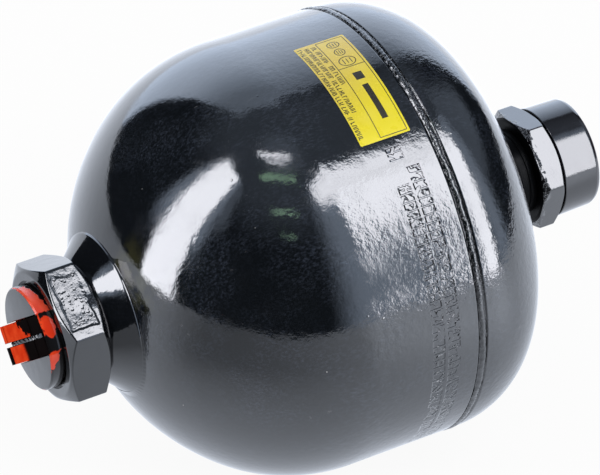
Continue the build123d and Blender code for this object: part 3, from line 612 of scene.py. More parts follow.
def sprayed_paint_group():
    """Sprayed gloss paint: orange peel, long sags, dust nibs under the film and fine scratches.

    The peel is coarse and fine noise whose height comes and goes in patches, times Peel Share. Normal is
    the peel and the nibs together. Specks is 1 on the pale tips of nibs, Scratches is 1 on thin scuffs,
    Haze is 1 where the film is dull, and Dust is a fine grain of settled overspray.
    """
    tree, g, given = new_group(
        "sprayed_paint",
        [("Vector", "NodeSocketVector", None), ("Peel Scale", "NodeSocketFloat", 620.0), ("Peel Depth", "NodeSocketFloat", 0.00001),
         ("Peel Share", "NodeSocketFloat", 1.0), ("Sag Depth", "NodeSocketFloat", 0.00003), ("Nibs", "NodeSocketFloat", 0.5),
         ("Scratches", "NodeSocketFloat", 0.5)],
        [("Normal", "NodeSocketVector"), ("Specks", "NodeSocketFloat"), ("Scratches", "NodeSocketFloat"), ("Haze", "NodeSocketFloat"),
         ("Dust", "NodeSocketFloat")],
    )
    place = given["Vector"]
    patches = g.math("MULTIPLY", g.ramp(g.noise(place, 46.0, 2.0), 0.32, 0.66, 0.50, 1.30), given["Peel Share"])
    peel = g.math("MULTIPLY", g.noise(place, given["Peel Scale"], 2.0, 0.5), patches)
    fine = g.math("MULTIPLY", g.noise(place, g.math("MULTIPLY", given["Peel Scale"], 2.9), 2.0, 0.6), patches)
    broad = g.noise(place, 130.0, 1.0)
    spots = g.node("ShaderNodeTexVoronoi", {"Vector": place, "Scale": 210.0, "Randomness": 1.0}, output=None, feature="F1")
    chosen = g.ramp(g.node("ShaderNodeSeparateColor", {0: spots.outputs["Color"]}), g.math("SUBTRACT", 1.0, g.math("MULTIPLY", given["Nibs"], 0.10)), 1.0, kind="LINEAR")
    near = g.ramp(spots.outputs["Distance"], 0.02, 0.10, 1.0, 0.0)
    nib = g.math("MULTIPLY", near, g.math("GREATER_THAN", chosen, 0.0))
    long_place = g.node("ShaderNodeMapping", {"Vector": place, "Rotation": (0.3, 0.5, 0.9), "Scale": (60.0, 900.0, 700.0)})
    thin = g.noise(long_place, 1.0, 1.0, 0.4, 0.2)
    patch = g.ramp(g.noise(place, 38.0, 2.0), 0.58, 0.70)
    scratch = g.math("MULTIPLY", g.ramp(thin, 0.70, 0.76), g.math("MULTIPLY", patch, given["Scratches"]))
    bent = g.bump(broad, given["Sag Depth"])
    bent = g.bump(peel, given["Peel Depth"], bent)
    bent = g.bump(fine, g.math("MULTIPLY", given["Peel Depth"], 0.42), bent)
    bent = g.bump(nib, 0.00003, bent)
    speck = g.math("MULTIPLY", g.ramp(spots.outputs["Distance"], 0.02, 0.060, 1.0, 0.0), g.math("GREATER_THAN", chosen, 0.40))
    haze = g.ramp(g.noise(place, 90.0, 4.0, 0.65), 0.42, 0.70)
    wisp_place = g.node("ShaderNodeMapping", {"Vector": place, "Rotation": (0.2, 0.4, 0.7), "Scale": (620.0, 1700.0, 1500.0)})
    wisps = g.ramp(g.noise(wisp_place, 1.0, 3.0, 0.7), 0.42, 0.72)
    dust = g.math("MULTIPLY", wisps, g.ramp(g.noise(place, 48.0, 3.0, 0.6), 0.42, 0.64, 0.12, 1.0))
    return close_group(tree, {"Normal": bent, "Specks": speck, "Scratches": scratch, "Haze": haze, "Dust": dust})


def region_group():
    """A soft window on the cylinder, given by x and by the angle from +Z towards -Y.

    Inside is 1 where x and the angle both lie in their ranges, and falls to 0 over the soft edge.
    Angle is the angle in degrees.
    """
    tree, g, given = new_group(
        "shell_window",
        [("Vector", "NodeSocketVector", None), ("X From", "NodeSocketFloat", 0.0), ("X To", "NodeSocketFloat", 1.0),
         ("Angle From", "NodeSocketFloat", 0.0), ("Angle To", "NodeSocketFloat", 90.0), ("Soft", "NodeSocketFloat", 0.0002)],
        [("Inside", "NodeSocketFloat"), ("Angle", "NodeSocketFloat")],
    )
    apart = g.node("ShaderNodeSeparateXYZ", {0: given["Vector"]}, output=None)
    angle = g.math("DEGREES", g.math("ARCTAN2", g.math("MULTIPLY", apart.outputs[1], -1.0), apart.outputs[2]))
    x = apart.outputs[0]
    soft = given["Soft"]
    wide = g.math("MULTIPLY", soft, 850.0)
    inside = g.ramp(x, given["X From"], g.math("ADD", given["X From"], soft))
    inside = g.math("MULTIPLY", inside, g.ramp(x, g.math("SUBTRACT", given["X To"], soft), given["X To"], 1.0, 0.0))
    inside = g.math("MULTIPLY", inside, g.ramp(angle, given["Angle From"], g.math("ADD", given["Angle From"], wide)))
    inside = g.math("MULTIPLY", inside, g.ramp(angle, g.math("SUBTRACT", given["Angle To"], wide), given["Angle To"], 1.0, 0.0))
    return close_group(tree, {"Inside": inside, "Angle": angle})


def facet_group():
    """How squarely a surface faces one direction across the axis: 1 on the flat whose angle from +Y towards +Z is given."""
    tree, g, given = new_group(
        "hexagon_flat",
        [("Flat Angle", "NodeSocketFloat", 120.0), ("Vector", "NodeSocketVector", None), ("Apothem", "NodeSocketFloat", 0.0205)],
        [("Mask", "NodeSocketFloat")],
    )
    apart = g.node("ShaderNodeSeparateXYZ", {0: given["Vector"]}, output=None)
    turn = g.math("RADIANS", given["Flat Angle"])
    reach = g.math(
        "ADD", g.math("MULTIPLY", apart.outputs[1], g.math("COSINE", turn)), g.math("MULTIPLY", apart.outputs[2], g.math("SINE", turn))
    )
    return close_group(tree, {"Mask": g.ramp(g.math("SUBTRACT", given["Apothem"], reach), 0.00002, 0.0003, 1.0, 0.0)})


def new_material(name, **values):
    """A material with one Principled shader. Values are set on the shader's own sockets."""
    made = bpy.data.materials.new(name)
    made.use_nodes = True
    shader = made.node_tree.nodes["Principled BSDF"]
    for key, value in values.items():
        shader.inputs[key.replace("_", " ")].default_value = value
    g = Graph(made.node_tree)
    place = g.node("ShaderNodeTexCoord", output=3)
    return made, g, shader.inputs, place


def use(g, group, inputs):
    """Places a node group and returns its outputs."""
    made = g.node("ShaderNodeGroup", output=None, node_tree=group)
    for key, value in inputs.items():
        g.feed(made.inputs[key], value)
    return made.outputs


SPRAYED = sprayed_paint_group()
WINDOW = region_group()
FLAT = facet_group()
GLOSS_IOR = 1.8


def shell_paint():
    """Gloss black paint over the shells, with two rows of stamped marks beside the weld and a dusty stain by the port."""
    made, g, sockets, place = new_material("gloss_black_shell_paint", IOR=GLOSS_IOR)
    apart = g.node("ShaderNodeSeparateXYZ", {0: place}, output=None)
    angle = use(g, WINDOW, {"Vector": place})["Angle"]
    towards_weld = g.math("MULTIPLY", g.ramp(apart.outputs[0], 0.060, 0.092, 0.62, 1.15), g.ramp(apart.outputs[0], 0.098, 0.106, 1.0, 1.35))
    towards_weld = g.math("MULTIPLY", towards_weld, g.ramp(angle, 50.0, 70.0, 1.0, 1.4))
    film = use(g, SPRAYED, {
        "Vector": place, "Peel Scale": 560.0, "Peel Depth": 0.000048, "Peel Share": towards_weld, "Sag Depth": 0.00004,
        "Nibs": 1.3, "Scratches": 0.7,
    })
    rows = []
    for x_from, x_to, start, end in ((0.0957, 0.1000, 41.0, 128.0), (0.1008, 0.1052, 37.0, 132.0), (0.0968, 0.1018, 31.0, 35.0)):
        window = use(g, WINDOW, {"Vector": place, "X From": x_from, "X To": x_to, "Angle From": start, "Angle To": end, "Soft": 0.0005})
        rows.append(window["Inside"])
    flat_place = g.node("ShaderNodeCombineXYZ", {0: g.math("MULTIPLY", apart.outputs[0], 330.0), 1: g.math("MULTIPLY", angle, 0.46), 2: 0.0})
    contour = g.math("ABSOLUTE", g.math("SUBTRACT", g.noise(flat_place, 1.0, 0.6, 0.5, 0.5), 0.5))
    strokes = g.ramp(contour, 0.085, 0.140, 1.0, 0.0)
    spacing = g.math("PINGPONG", g.math("MULTIPLY", angle, 0.46), 0.5)
    marks = g.math("MULTIPLY", strokes, g.ramp(spacing, 0.05, 0.12))
    stamped = g.math("MULTIPLY", marks, g.math("MAXIMUM", g.math("MAXIMUM", rows[0], rows[1]), rows[2]))
    normal = g.bump(g.math("MULTIPLY", stamped, -1.0), 0.00050, film["Normal"])
    g.feed(sockets["Normal"], normal)
    tint = g.mix(g.ramp(g.noise(place, 22.0, 2.0), 0.35, 0.7), (0.0022, 0.0030, 0.0042, 1), (0.0034, 0.0044, 0.0058, 1))
    stain = g.math("MULTIPLY", g.ramp(apart.outputs[0], 0.0235, 0.0290, 1.0, 0.0), g.ramp(angle, 10.0, 20.0))
    stain = g.math("MULTIPLY", stain, g.math("MULTIPLY", g.ramp(angle, 44.0, 60.0, 1.0, 0.0), g.ramp(g.noise(place, 240.0, 3.0, 0.6), 0.36, 0.56)))
    tint = g.mix(g.math("MULTIPLY", stain, 0.9), tint, (0.034, 0.033, 0.012, 1))
    tint = g.mix(film["Dust"], tint, (0.026, 0.032, 0.046, 1))
    tint = g.mix(g.math("MULTIPLY", film["Scratches"], 0.5), tint, (0.16, 0.16, 0.17, 1))
    tint = g.mix(film["Specks"], tint, (0.62, 0.62, 0.62, 1))
    g.feed(sockets["Base Color"], tint)
    dull = g.ramp(film["Haze"], 0.0, 1.0, 0.055, 0.15, "LINEAR")
    g.feed(sockets["Roughness"], g.math("ADD", dull, g.math("MULTIPLY", film["Scratches"], 0.22)))
    return made


def weld_paint():
    """The same paint over weld metal: deeper ripples and a few bare grey spots."""
    made, g, sockets, place = new_material("gloss_black_weld_paint", IOR=GLOSS_IOR)
    film = use(g, SPRAYED, {"Vector": place, "Peel Scale": 900.0, "Peel Depth": 0.00005, "Sag Depth": 0.00006, "Nibs": 1.4, "Scratches": 0.4})
    spatter = g.ramp(g.noise(place, 1300.0, 3.0, 0.7), 0.52, 0.72)
    g.feed(sockets["Normal"], g.bump(spatter, 0.00008, film["Normal"]))
    g.feed(sockets["Base Color"], g.mix(film["Specks"], (0.0035, 0.0042, 0.0052, 1), (0.5, 0.5, 0.5, 1)))
    g.feed(sockets["Roughness"], g.ramp(g.noise(place, 300.0, 2.0), 0.3, 0.7, 0.07, 0.2, "LINEAR"))
    return made


def fitting_paint():
    """Gloss paint on the forged port and its weld, with hammered pits on the port hexagon's upper front flat."""
    made, g, sockets, place = new_material("gloss_black_fitting_paint", IOR=GLOSS_IOR)
    film = use(g, SPRAYED, {"Vector": place, "Peel Scale": 430.0, "Peel Depth": 0.000022, "Sag Depth": 0.00010, "Nibs": 0.5, "Scratches": 0.25})
    flat = use(g, FLAT, {"Vector": place, "Flat Angle": 120.0, "Apothem": PORT_APOTHEM * MM})["Mask"]
    apart = g.node("ShaderNodeSeparateXYZ", {0: place}, output=None)
    wobble = g.math("MULTIPLY", g.math("SUBTRACT", g.noise(place, 260.0, 2.0), 0.5), 0.0016)
    along = g.math("ADD", apart.outputs[0], wobble)
    across = g.math("ADD", g.math("MULTIPLY", apart.outputs[1], -sin(radians(120))), g.math("MULTIPLY", apart.outputs[2], cos(radians(120))))
    across = g.math("ADD", across, wobble)
    off = g.math("ABSOLUTE", across)
    far_side = g.ramp(across, -0.0020, 0.0050, 1.0, 0.0)
    sink = g.math("MULTIPLY", g.ramp(along, 0.0018, 0.0028), g.ramp(along, 0.0104, 0.0114, 1.0, far_side))
    sink = g.math("MULTIPLY", g.math("MULTIPLY", sink, g.ramp(across, 0.0082, 0.0091, 1.0, 0.0)), flat)
    sink = g.math("MULTIPLY", sink, g.ramp(apart.outputs[0], 0.0124, 0.0134, 1.0, 0.0))
    inset = g.math("MULTIPLY", g.ramp(along, 0.0018, 0.0032), g.ramp(along, 0.0100, 0.0114, 1.0, 0.0))
    inset = g.math("MULTIPLY", g.math("MULTIPLY", inset, g.ramp(off, 0.0078, 0.0094, 1.0, 0.0)), flat)
    wide = g.ramp(g.cells(place, 700.0), 0.06, 0.42)
    small = g.ramp(g.cells(place, 1300.0), 0.06, 0.36)
    pits = g.math("MULTIPLY", g.math("ADD", wide, g.math("MULTIPLY", small, 0.30)), inset)
    normal = g.bump(sink, -0.00007, film["Normal"])
    normal = g.bump(pits, 0.000016, normal)
    g.feed(sockets["Normal"], normal)
    tint = g.mix(g.math("MULTIPLY", film["Dust"], 0.3), (0.0022, 0.0027, 0.0036, 1), (0.014, 0.017, 0.024, 1))
    tint = g.mix(film["Specks"], tint, (0.6, 0.6, 0.6, 1))
    tint = g.mix(g.math("MULTIPLY", film["Scratches"], 0.5), tint, (0.2, 0.2, 0.2, 1))
    g.feed(sockets["Base Color"], tint)
    g.feed(sockets["Roughness"], g.ramp(film["Haze"], 0.0, 1.0, 0.04, 0.10, "LINEAR"))
    return made


def valve_paint():
    """Paint on the valve hexagon, with a broken, chipped film towards its near edge."""
    made, g, sockets, place = new_material("gloss_black_valve_paint", IOR=1.76)
    film = use(g, SPRAYED, {"Vector": place, "Peel Scale": 700.0, "Peel Depth": 0.00003, "Sag Depth": 0.00005, "Nibs": 0.8, "Scratches": 0.4})
    chips = g.ramp(g.noise(place, 640.0, 3.0, 0.65), 0.50, 0.58)
    apart = g.node("ShaderNodeSeparateXYZ", {0: place}, output=None)
    edge = g.ramp(g.math("ADD", apart.outputs[0], g.math("MULTIPLY", g.noise(place, 300.0, 2.0), 0.0022)), 0.1655, 0.1668, 1.0, 0.0)
    g.feed(sockets["Normal"], g.bump(g.math("MULTIPLY", chips, edge), 0.00026, film["Normal"]))
    g.feed(sockets["Base Color"], g.mix(film["Specks"], (0.0050, 0.0046, 0.0062, 1), (0.55, 0.55, 0.55, 1)))
    g.feed(sockets["Roughness"], g.ramp(film["Haze"], 0.0, 1.0, 0.05, 0.13, "LINEAR"))
    return made


def gap_painted_shade():
    """Dull near-black with little gloss in the gap behind the valve's hexagon, over turned rings: painted shade."""
    made, g, sockets, place = new_material("dull_black_painted_shade", IOR=1.3, Specular_IOR_Level=0.10)
    apart = g.node("ShaderNodeSeparateXYZ", {0: place}, output=None)
    out = g.math("SQRT", g.math("ADD", g.math("POWER", apart.outputs[1], 2.0), g.math("POWER", apart.outputs[2], 2.0)))
    rings = g.noise(g.node("ShaderNodeCombineXYZ", {0: apart.outputs[0], 1: out, 2: 0.0}), 1300.0, 1.0, 0.5)
    patches = g.noise(place, 260.0, 3.0, 0.6)
    g.feed(sockets["Normal"], g.bump(rings, 0.00012))
    g.feed(sockets["Base Color"], g.mix(patches, (0.0012, 0.0013, 0.0016, 1), (0.0030, 0.0032, 0.0036, 1)))
    g.feed(sockets["Roughness"], g.ramp(patches, 0.3, 0.7, 0.26, 0.42, "LINEAR"))
    return made


def plug_plastic(name, ior, shine, in_slot):
    """Red moulded plastic under black overspray: the spray misses the bars' far ends and three places on the rim.

    In the slot, in_slot, the spray is thin and dull, and shows no rim.
    """
    made, g, sockets, place = new_material(name, IOR=ior, Specular_IOR_Level=shine)
    film = use(g, SPRAYED, {"Vector": place, "Peel Scale": 380.0, "Peel Depth": 0.00003, "Sag Depth": 0.0001, "Nibs": 0.8, "Scratches": 0.2})
    apart = g.node("ShaderNodeSeparateXYZ", {0: place}, output=None)
    x, y, z = (apart.outputs[k] for k in range(3))
    turn = radians(PLUG_BAR_TURN)
    along = g.math("ADD", g.math("MULTIPLY", y, cos(turn)), g.math("MULTIPLY", z, sin(turn)))
    across = g.math("ADD", g.math("MULTIPLY", y, -sin(turn)), g.math("MULTIPLY", z, cos(turn)))
    around_x = g.math("DEGREES", g.math("ARCTAN2", z, y))
    full_turn = g.math("ADD", around_x, g.math("MULTIPLY", g.math("LESS_THAN", around_x, 0.0), 360.0))
    radius = g.math("SQRT", g.math("ADD", g.math("MULTIPLY", y, y), g.math("MULTIPLY", z, z)))
    ragged = g.math("MULTIPLY", g.math("SUBTRACT", g.noise(place, 420.0, 3.0, 0.6), 0.5), 2.0)
    if in_slot:
        upper = g.ramp(across, 0.0004, 0.0006)
        start = g.math("ADD", -0.0112, g.math("MULTIPLY", across, 1.67))
        start = g.math("ADD", -0.0033, g.math("MULTIPLY", upper, g.math("ADD", start, 0.0033)))
        torn = g.math("MULTIPLY", ragged, g.ramp(upper, 0.0, 1.0, 0.0008, 0.0060, "LINEAR"))
        red = g.ramp(g.math("ADD", g.math("SUBTRACT", along, start), torn), 0.0, g.ramp(upper, 0.0, 1.0, 0.0032, 0.0008, "LINEAR"))
        red = g.math("MULTIPLY", red, g.ramp(x, -0.0022, -0.0017, 1.0, 0.0))
        red = g.math("MULTIPLY", red, g.ramp(g.math("ABSOLUTE", across), 0.00070, 0.00080))
        red = g.math("MULTIPLY", red, g.ramp(g.math("ABSOLUTE", across), 0.00615, 0.0063, 1.0, 0.0))
        lower_tab = g.math("MULTIPLY", g.ramp(along, 0.0118, 0.0124), g.math("SUBTRACT", 1.0, upper))
        red = g.math("MULTIPLY", red, g.math("SUBTRACT", 1.0, lower_tab))
    else:
        around = g.math("ADD", full_turn, g.math("MULTIPLY", ragged, 5.0))
        depth = g.math("ADD", x, g.math("MULTIPLY", ragged, 0.0014))
        off = g.math("DIVIDE", g.math("SUBTRACT", around, 131.0), 12.5)
        deep = g.math("DIVIDE", g.math("ADD", depth, 0.0022), 0.0022)
        reach = g.math("SQRT", g.math("ADD", g.math("MULTIPLY", off, off), g.math("MULTIPLY", deep, deep)))
        blobs = g.ramp(reach, 0.90, 1.0, 1.0, 0.0)
        for first, last, at_first, at_last in ((64.0, 115.0, -0.0018, 0.0002), (157.0, 186.0, -0.0002, -0.0046)):
            window = g.math("MULTIPLY", g.ramp(around, first, first + 1.5), g.ramp(around, last - 1.5, last, 1.0, 0.0))
            limit = g.ramp(around, first, last, at_first, at_last, "LINEAR")
            window = g.math("MULTIPLY", window, g.ramp(g.math("SUBTRACT", depth, limit), -0.0003, 0.0001, 1.0, 0.0))
            blobs = g.math("MAXIMUM", blobs, window)
        rim = g.math("MULTIPLY", g.ramp(radius, 0.01570, 0.01585), g.ramp(x, -0.0040, -0.0036, 1.0, 0.0))
        rim = g.math("MULTIPLY", rim, g.ramp(g.noise(place, 150.0, 2.0), 0.50, 0.56))
        red = g.math("MAXIMUM", g.math("MULTIPLY", g.ramp(radius, 0.0154, 0.0157), blobs), rim)
    tint = g.mix(g.ramp(g.noise(place, 200.0, 2.0), 0.3, 0.7), (0.66, 0.034, 0.008, 1), (0.80, 0.072, 0.018, 1))
    sprayed = (0.0040, 0.0020, 0.0020, 1) if in_slot else (0.0045, 0.0045, 0.0050, 1)
    black = g.mix(g.noise(place, 120.0, 2.0), sprayed, (0.0070, 0.0062, 0.0066, 1))
    g.feed(sockets["Base Color"], g.mix(red, black, tint))
    g.feed(sockets["Roughness"], g.ramp(red, 0.0, 1.0, 0.12, 0.36, "LINEAR"))
    g.feed(sockets["Normal"], g.bump(red, -0.00006, film["Normal"]))
    return made


def cap_plastic():
    """Satin black moulded plastic with a fine grain and light handling marks, and a reddish-brown painted highlight on
    its far rim.
    """
    made, g, sockets, place = new_material("satin_black_cap_plastic", IOR=1.7)
    grain = g.noise(place, 2600.0, 2.0, 0.6)
    marks = g.ramp(g.noise(place, 260.0, 3.0, 0.6, 0.6), 0.62, 0.72)
    g.feed(sockets["Normal"], g.bump(g.math("ADD", grain, g.math("MULTIPLY", marks, 0.6)), 0.00001, g.bump(g.noise(place, 170.0, 1.0), 0.00005)))
    # The far rim is coloured reddish brown: a painted highlight.
    rim = g.ramp(g.node("ShaderNodeSeparateXYZ", {0: place}), 0.1838, 0.1846)
    black = g.mix(marks, (0.0075, 0.0070, 0.0090, 1), (0.016, 0.015, 0.018, 1))
    g.feed(sockets["Base Color"], g.mix(rim, black, (0.060, 0.030, 0.026, 1)))
    g.feed(sockets["Roughness"], g.ramp(g.noise(place, 90.0, 2.0), 0.3, 0.7, 0.06, 0.10, "LINEAR"))
    return made


def label_film():
    """Yellow printed film: paler at the upper end, a painted sheen, with a faint mottle."""
    made, g, sockets, place = new_material("yellow_label_film", IOR=1.5)
    mottle = g.noise(place, 190.0, 3.0, 0.6)
    apart = g.node("ShaderNodeSeparateXYZ", {0: place}, output=None)
    # Towards the upper end the yellow turns paler and bluer: a painted sheen.
    lower = g.math("ADD", g.math("MULTIPLY", apart.outputs[1], -1.0), g.math("MULTIPLY", g.math("SUBTRACT", apart.outputs[0], 0.099), 0.7))
    fade = g.ramp(lower, 0.000, 0.030)
    yellow = g.mix(fade, (0.66, 0.50, 0.080, 1), (0.84, 0.72, 0.020, 1))
    g.feed(sockets["Base Color"], g.mix(g.ramp(mottle, 0.35, 0.75, 0.0, 0.30), yellow, (0.80, 0.68, 0.10, 1)))
    g.feed(sockets["Roughness"], g.ramp(mottle, 0.3, 0.7, 0.24, 0.34, "LINEAR"))
    g.feed(sockets["Normal"], g.bump(g.noise(place, 700.0, 2.0), 0.000006))
    return made


def label_ink():
    """Thin black ink, a little uneven."""
    made, g, sockets, place = new_material("label_ink", Roughness=0.4, IOR=1.5)
    g.feed(sockets["Base Color"], g.mix(g.noise(place, 900.0, 2.0), (0.010, 0.009, 0.006, 1), (0.030, 0.026, 0.012, 1)))
    return made


def turned_metal(name, low, high, roughness, metallic=1.0):
    """Turned metal: fine rings round the axis with a light tarnish."""
    made, g, sockets, place = new_material(name, Metallic=metallic, IOR=1.5)
    apart = g.node("ShaderNodeSeparateXYZ", {0: place}, output=None)
    out = g.math("SQRT", g.math("ADD", g.math("POWER", apart.outputs[1], 2.0), g.math("POWER", apart.outputs[2], 2.0)))
    rings = g.noise(g.node("ShaderNodeCombineXYZ", {0: apart.outputs[0], 1: out, 2: 0.0}), 5200.0, 2.0, 0.7)
    tarnish = g.noise(place, 140.0, 3.0, 0.6)
    g.feed(sockets["Base Color"], g.mix(g.ramp(tarnish, 0.3, 0.7), low, high))
    g.feed(sockets["Roughness"], g.ramp(tarnish, 0.3, 0.7, roughness, roughness + 0.12, "LINEAR"))
    g.feed(sockets["Normal"], g.bump(rings, 0.00001))
    return made


def moulded_rubber(name, colour, roughness):
    """Moulded nitrile rubber: near black, with a fine bloom."""
    made, g, sockets, place = new_material(name, IOR=1.5)
    bloom = g.noise(place, 320.0, 4.0, 0.6)
    g.feed(sockets["Base Color"], g.mix(g.ramp(bloom, 0.4, 0.75), colour, tuple(1.6 * c for c in colour[:3]) + (1,)))
    g.feed(sockets["Roughness"], g.ramp(bloom, 0.3, 0.7, roughness - 0.08, roughness + 0.08, "LINEAR"))
    g.feed(sockets["Normal"], g.bump(g.noise(place, 2200.0, 2.0), 0.00001))
    return made


# Pieces.
SHELL = shell_paint()
WELD = weld_paint()
FITTING = fitting_paint()
VALVE = valve_paint()
PLUG = plug_plastic("oversprayed_red_plastic", 1.6, 0.5, False)
PLUG_SLOT = plug_plastic("thinly_sprayed_red_plastic", 1.3, 0.0, True)
PLUG_END = plug_plastic("dull_sprayed_red_plastic", 1.3, 0.1, False)
PAINTED_SHADE_GAP = gap_painted_shade()
CAP = cap_plastic()
FILM = label_film()
INK = label_ink()

piece(fluid_shell_mesh(), "vessel", SHELL, ["fluid_shell"])
piece(gas_shell_mesh(), "vessel", SHELL, ["gas_shell"])
piece(girth_weld_mesh(), "vessel", WELD, ["girth_weld"], 60)
piece(port_fitting_mesh(), "vessel", FITTING, ["port_fitting"], 45)
piece(port_weld_mesh(), "vessel", FITTING, ["port_weld"], 60)
# The boss, its weld and the valve's near face get painted shade: a dull near-black for the shaded gap behind the
# valve's hexagon.
piece(gas_boss_mesh(), "vessel", PAINTED_SHADE_GAP, ["gas_boss"])
piece(gas_boss_weld_mesh(), "vessel", PAINTED_SHADE_GAP, ["gas_boss_weld"], 60)
valve = piece(valve_body_mesh(), "vessel", VALVE, ["valve_body"], 45)
second_finish(valve, PAINTED_SHADE_GAP, lambda middle: middle[:, 0] < BOSS_FACE_X + 0.35)
piece(cap_mesh(), "cap", CAP, ["protective_cap"])
plug = piece(smooth_copy("transit_plug", "transit_plug_moulding", 0.45), "plug", PLUG, ["transit_plug"], 50)
slot_normal = np.array([0, -sin(radians(PLUG_BAR_TURN)), cos(radians(PLUG_BAR_TURN))])
second_finish(plug, PLUG_SLOT, lambda middle: (np.abs(middle @ slot_normal) < 6.35) & (middle[:, 0] < -1.1))
piece(plug_rim_end_mesh(), "plug", PLUG_END, crease=50)
piece(plug_flash_mesh(), "plug", PLUG, crease=60)
label = label_rows(*LABEL_X, *LABEL_R, LABEL_CENTRE, LABEL_LENGTH, 0.4)
piece(skin("rating_label_film", label, False), "vessel", FILM, ["rating_label"], 30)

# Print on the label: a frame beside the weld with a cross line, plain outlines above it, a bold bar below it
# and three rows of ticks.
film_x0, film_x1 = LABEL_X
frame_x0, frame_x1 = film_x0 + 0.42 * (film_x1 - film_x0), film_x1 - 0.8
frame_x = (frame_x0 + frame_x1) / 2
print_top, print_end = -LABEL_LENGTH / 2 + 0.8, LABEL_LENGTH / 2 - 0.8
cross = print_top + 0.35 * (print_end - print_top)
LINE = 0.24
lines = [(frame_x0, (print_top + print_end) / 2, LINE, print_end - print_top, 0), (frame_x1, (print_top + print_end) / 2, LINE, print_end - print_top, 0)]
piece(bars_mesh("rating_label_lines", lines, 68.055, 68.075, 65), "vessel", INK, crease=30)

marks = [(frame_x, place, frame_x1 - frame_x0, LINE, 0) for place in (print_top, cross, print_end)]
for place, size_x, size_a in ((print_top + 3.0, 1.9, 1.5), (print_top + 7.2, 1.6, 1.6), (print_top + 11.9, 2.6, 2.0)):
    marks += ring_bars(frame_x, place, size_x, size_a, 0.27)
    marks += [(frame_x + step, place, 0.26, 1.1 * size_a, 0) for step in (-0.45 * size_x, 0, 0.45 * size_x)]
marks += [(frame_x, cross + 4.4, 2.9, 3.1, 0), (frame_x, cross + 14.8, 2.0, 13.2, 0)]
words = np.random.default_rng(7)
for column, first, share in ((0.335, 1.2, 0.47), (0.205, 0.9, 0.74), (0.075, 0.5, 0.97)):
    x = film_x0 + column * (film_x1 - film_x0)
    place, last = print_top + first, print_top + share * (print_end - print_top)
    while place < last:
        kind = words.random()
        if kind < 0.08:
            place += 0.7
            continue
        marks.append((x, place, 1.5, 0.27, words.uniform(-14, 14)))
        if kind < 0.55:
            marks.append((x + words.choice([-0.62, 0, 0.62]), place + 0.3, 0.26, 0.6, 0))
        if kind > 0.42:
            marks.append((x, place + 0.62, 1.5, 0.27, words.uniform(-14, 14)))
        place += 1.1
piece(bars_mesh("rating_label_print", marks, 68.052, 68.075, 9), "vessel", INK, crease=30)

STEEL = turned_metal("turned_steel", (0.42, 0.42, 0.43, 1), (0.56, 0.56, 0.57, 1), 0.28)
BRASS = turned_metal("turned_brass", (0.62, 0.45, 0.19, 1), (0.76, 0.58, 0.27, 1), 0.24)
RUBBER = moulded_rubber("moulded_nitrile", (0.018, 0.018, 0.018, 1), 0.55)
DIAPHRAGM = moulded_rubber("diaphragm_nitrile", (0.024, 0.024, 0.025, 1), 0.62)
FINISHES = {
    "clamp_ring": STEEL, "closing_button": STEEL, "button_washer": STEEL, "sealing_plug": STEEL,
    "core_spring": STEEL, "core_housing": BRASS, "core_pin": BRASS, "diaphragm": DIAPHRAGM, "core_seal": RUBBER,
    "sealing_ring": RUBBER, "valve_body_ring": RUBBER,
}
for name, finish in FINISHES.items():
    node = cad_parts[name]
    for place in node.material_slots:
        place.link = "OBJECT"
        place.material = finish


# Floor, light and camera.
def floor_material():
    """White floor that keeps the object's shadow: most of it shines for the camera, and the rest is lit.

    Gloss sees it cooler, and brighter towards the lamps' side: round the vessel its brightness away from
    the contact is a base plus the cosine of the direction from 25 degrees, and two spills below the softboxes.
    """
    made = bpy.data.materials.new("white_floor")
    made.use_nodes = True
    tree = made.node_tree
    tree.nodes.clear()
    g = Graph(tree)
    path = g.node("ShaderNodeLightPath", output=None)
    apart = g.node("ShaderNodeSeparateXYZ", {0: g.node("ShaderNodeTexCoord", output=3)}, output=None)
    dx = g.math("SUBTRACT", apart.outputs[0], 0.09)
    dy = apart.outputs[1]
    away = g.math("SQRT", g.math("ADD", g.math("MULTIPLY", dx, dx), g.math("MULTIPLY", dy, dy)))
    azimuth = g.math("DEGREES", g.math("ARCTAN2", dy, dx))
    far = g.math("ADD", 1.25, g.math("MULTIPLY", g.math("COSINE", g.math("RADIANS", g.math("SUBTRACT", azimuth, 25.0))), 0.85))
    for middle, half, more in ((-60.0, 24.0, 1.0), (172.0, 30.0, 0.7)):
        off = g.math("ABSOLUTE", g.math("WRAP", g.math("SUBTRACT", azimuth, middle), 180.0, -180.0))
        far = g.math("ADD", far, g.math("MULTIPLY", g.ramp(off, 4.0, half, 1.0, 0.0), more))
    level = g.math("ADD", 1.1, g.math("MULTIPLY", g.math("SUBTRACT", far, 1.1), g.ramp(away, 0.07, 0.26)))
    gloss = g.math("MULTIPLY", path.outputs["Is Glossy Ray"], 1.0)
    strength = g.math("ADD", g.math("MULTIPLY", gloss, level), g.math("SUBTRACT", 1.0, gloss))
    colour = g.mix(gloss, (1, 1, 1, 1), (0.93, 1.0, 1.13, 1))
    seen = g.math("MAXIMUM", path.outputs["Is Camera Ray"], g.math("MAXIMUM", path.outputs["Is Glossy Ray"], path.outputs["Is Transmission Ray"]))
    matt = g.node("ShaderNodeBsdfDiffuse", {"Color": (0.9, 0.9, 0.9, 1)})
    shine = g.node("ShaderNodeEmission", {"Color": colour, "Strength": strength})
    both = g.node("ShaderNodeMixShader", {0: g.math("MULTIPLY", seen, 0.93), 1: matt, 2: shine})
    g.node("ShaderNodeOutputMaterial", {"Surface": both}, output=None)
    return made


def build_floor():
    """A disc under the vessel, 1.1 m in radius."""
    a = np.linspace(0, 2 * pi, 96, endpoint=False)
    points = np.stack([90 + 1100 * np.cos(a), 1100 * np.sin(a), np.full(96, FLOOR_Z)], -1) * MM
    mesh = bpy.data.meshes.new("floor")
    mesh.from_pydata(points.tolist(), [], [list(range(96))])
    mesh.materials.append(floor_material())
    made = bpy.data.objects.new("floor", mesh)
    bpy.context.scene.collection.objects.link(made)


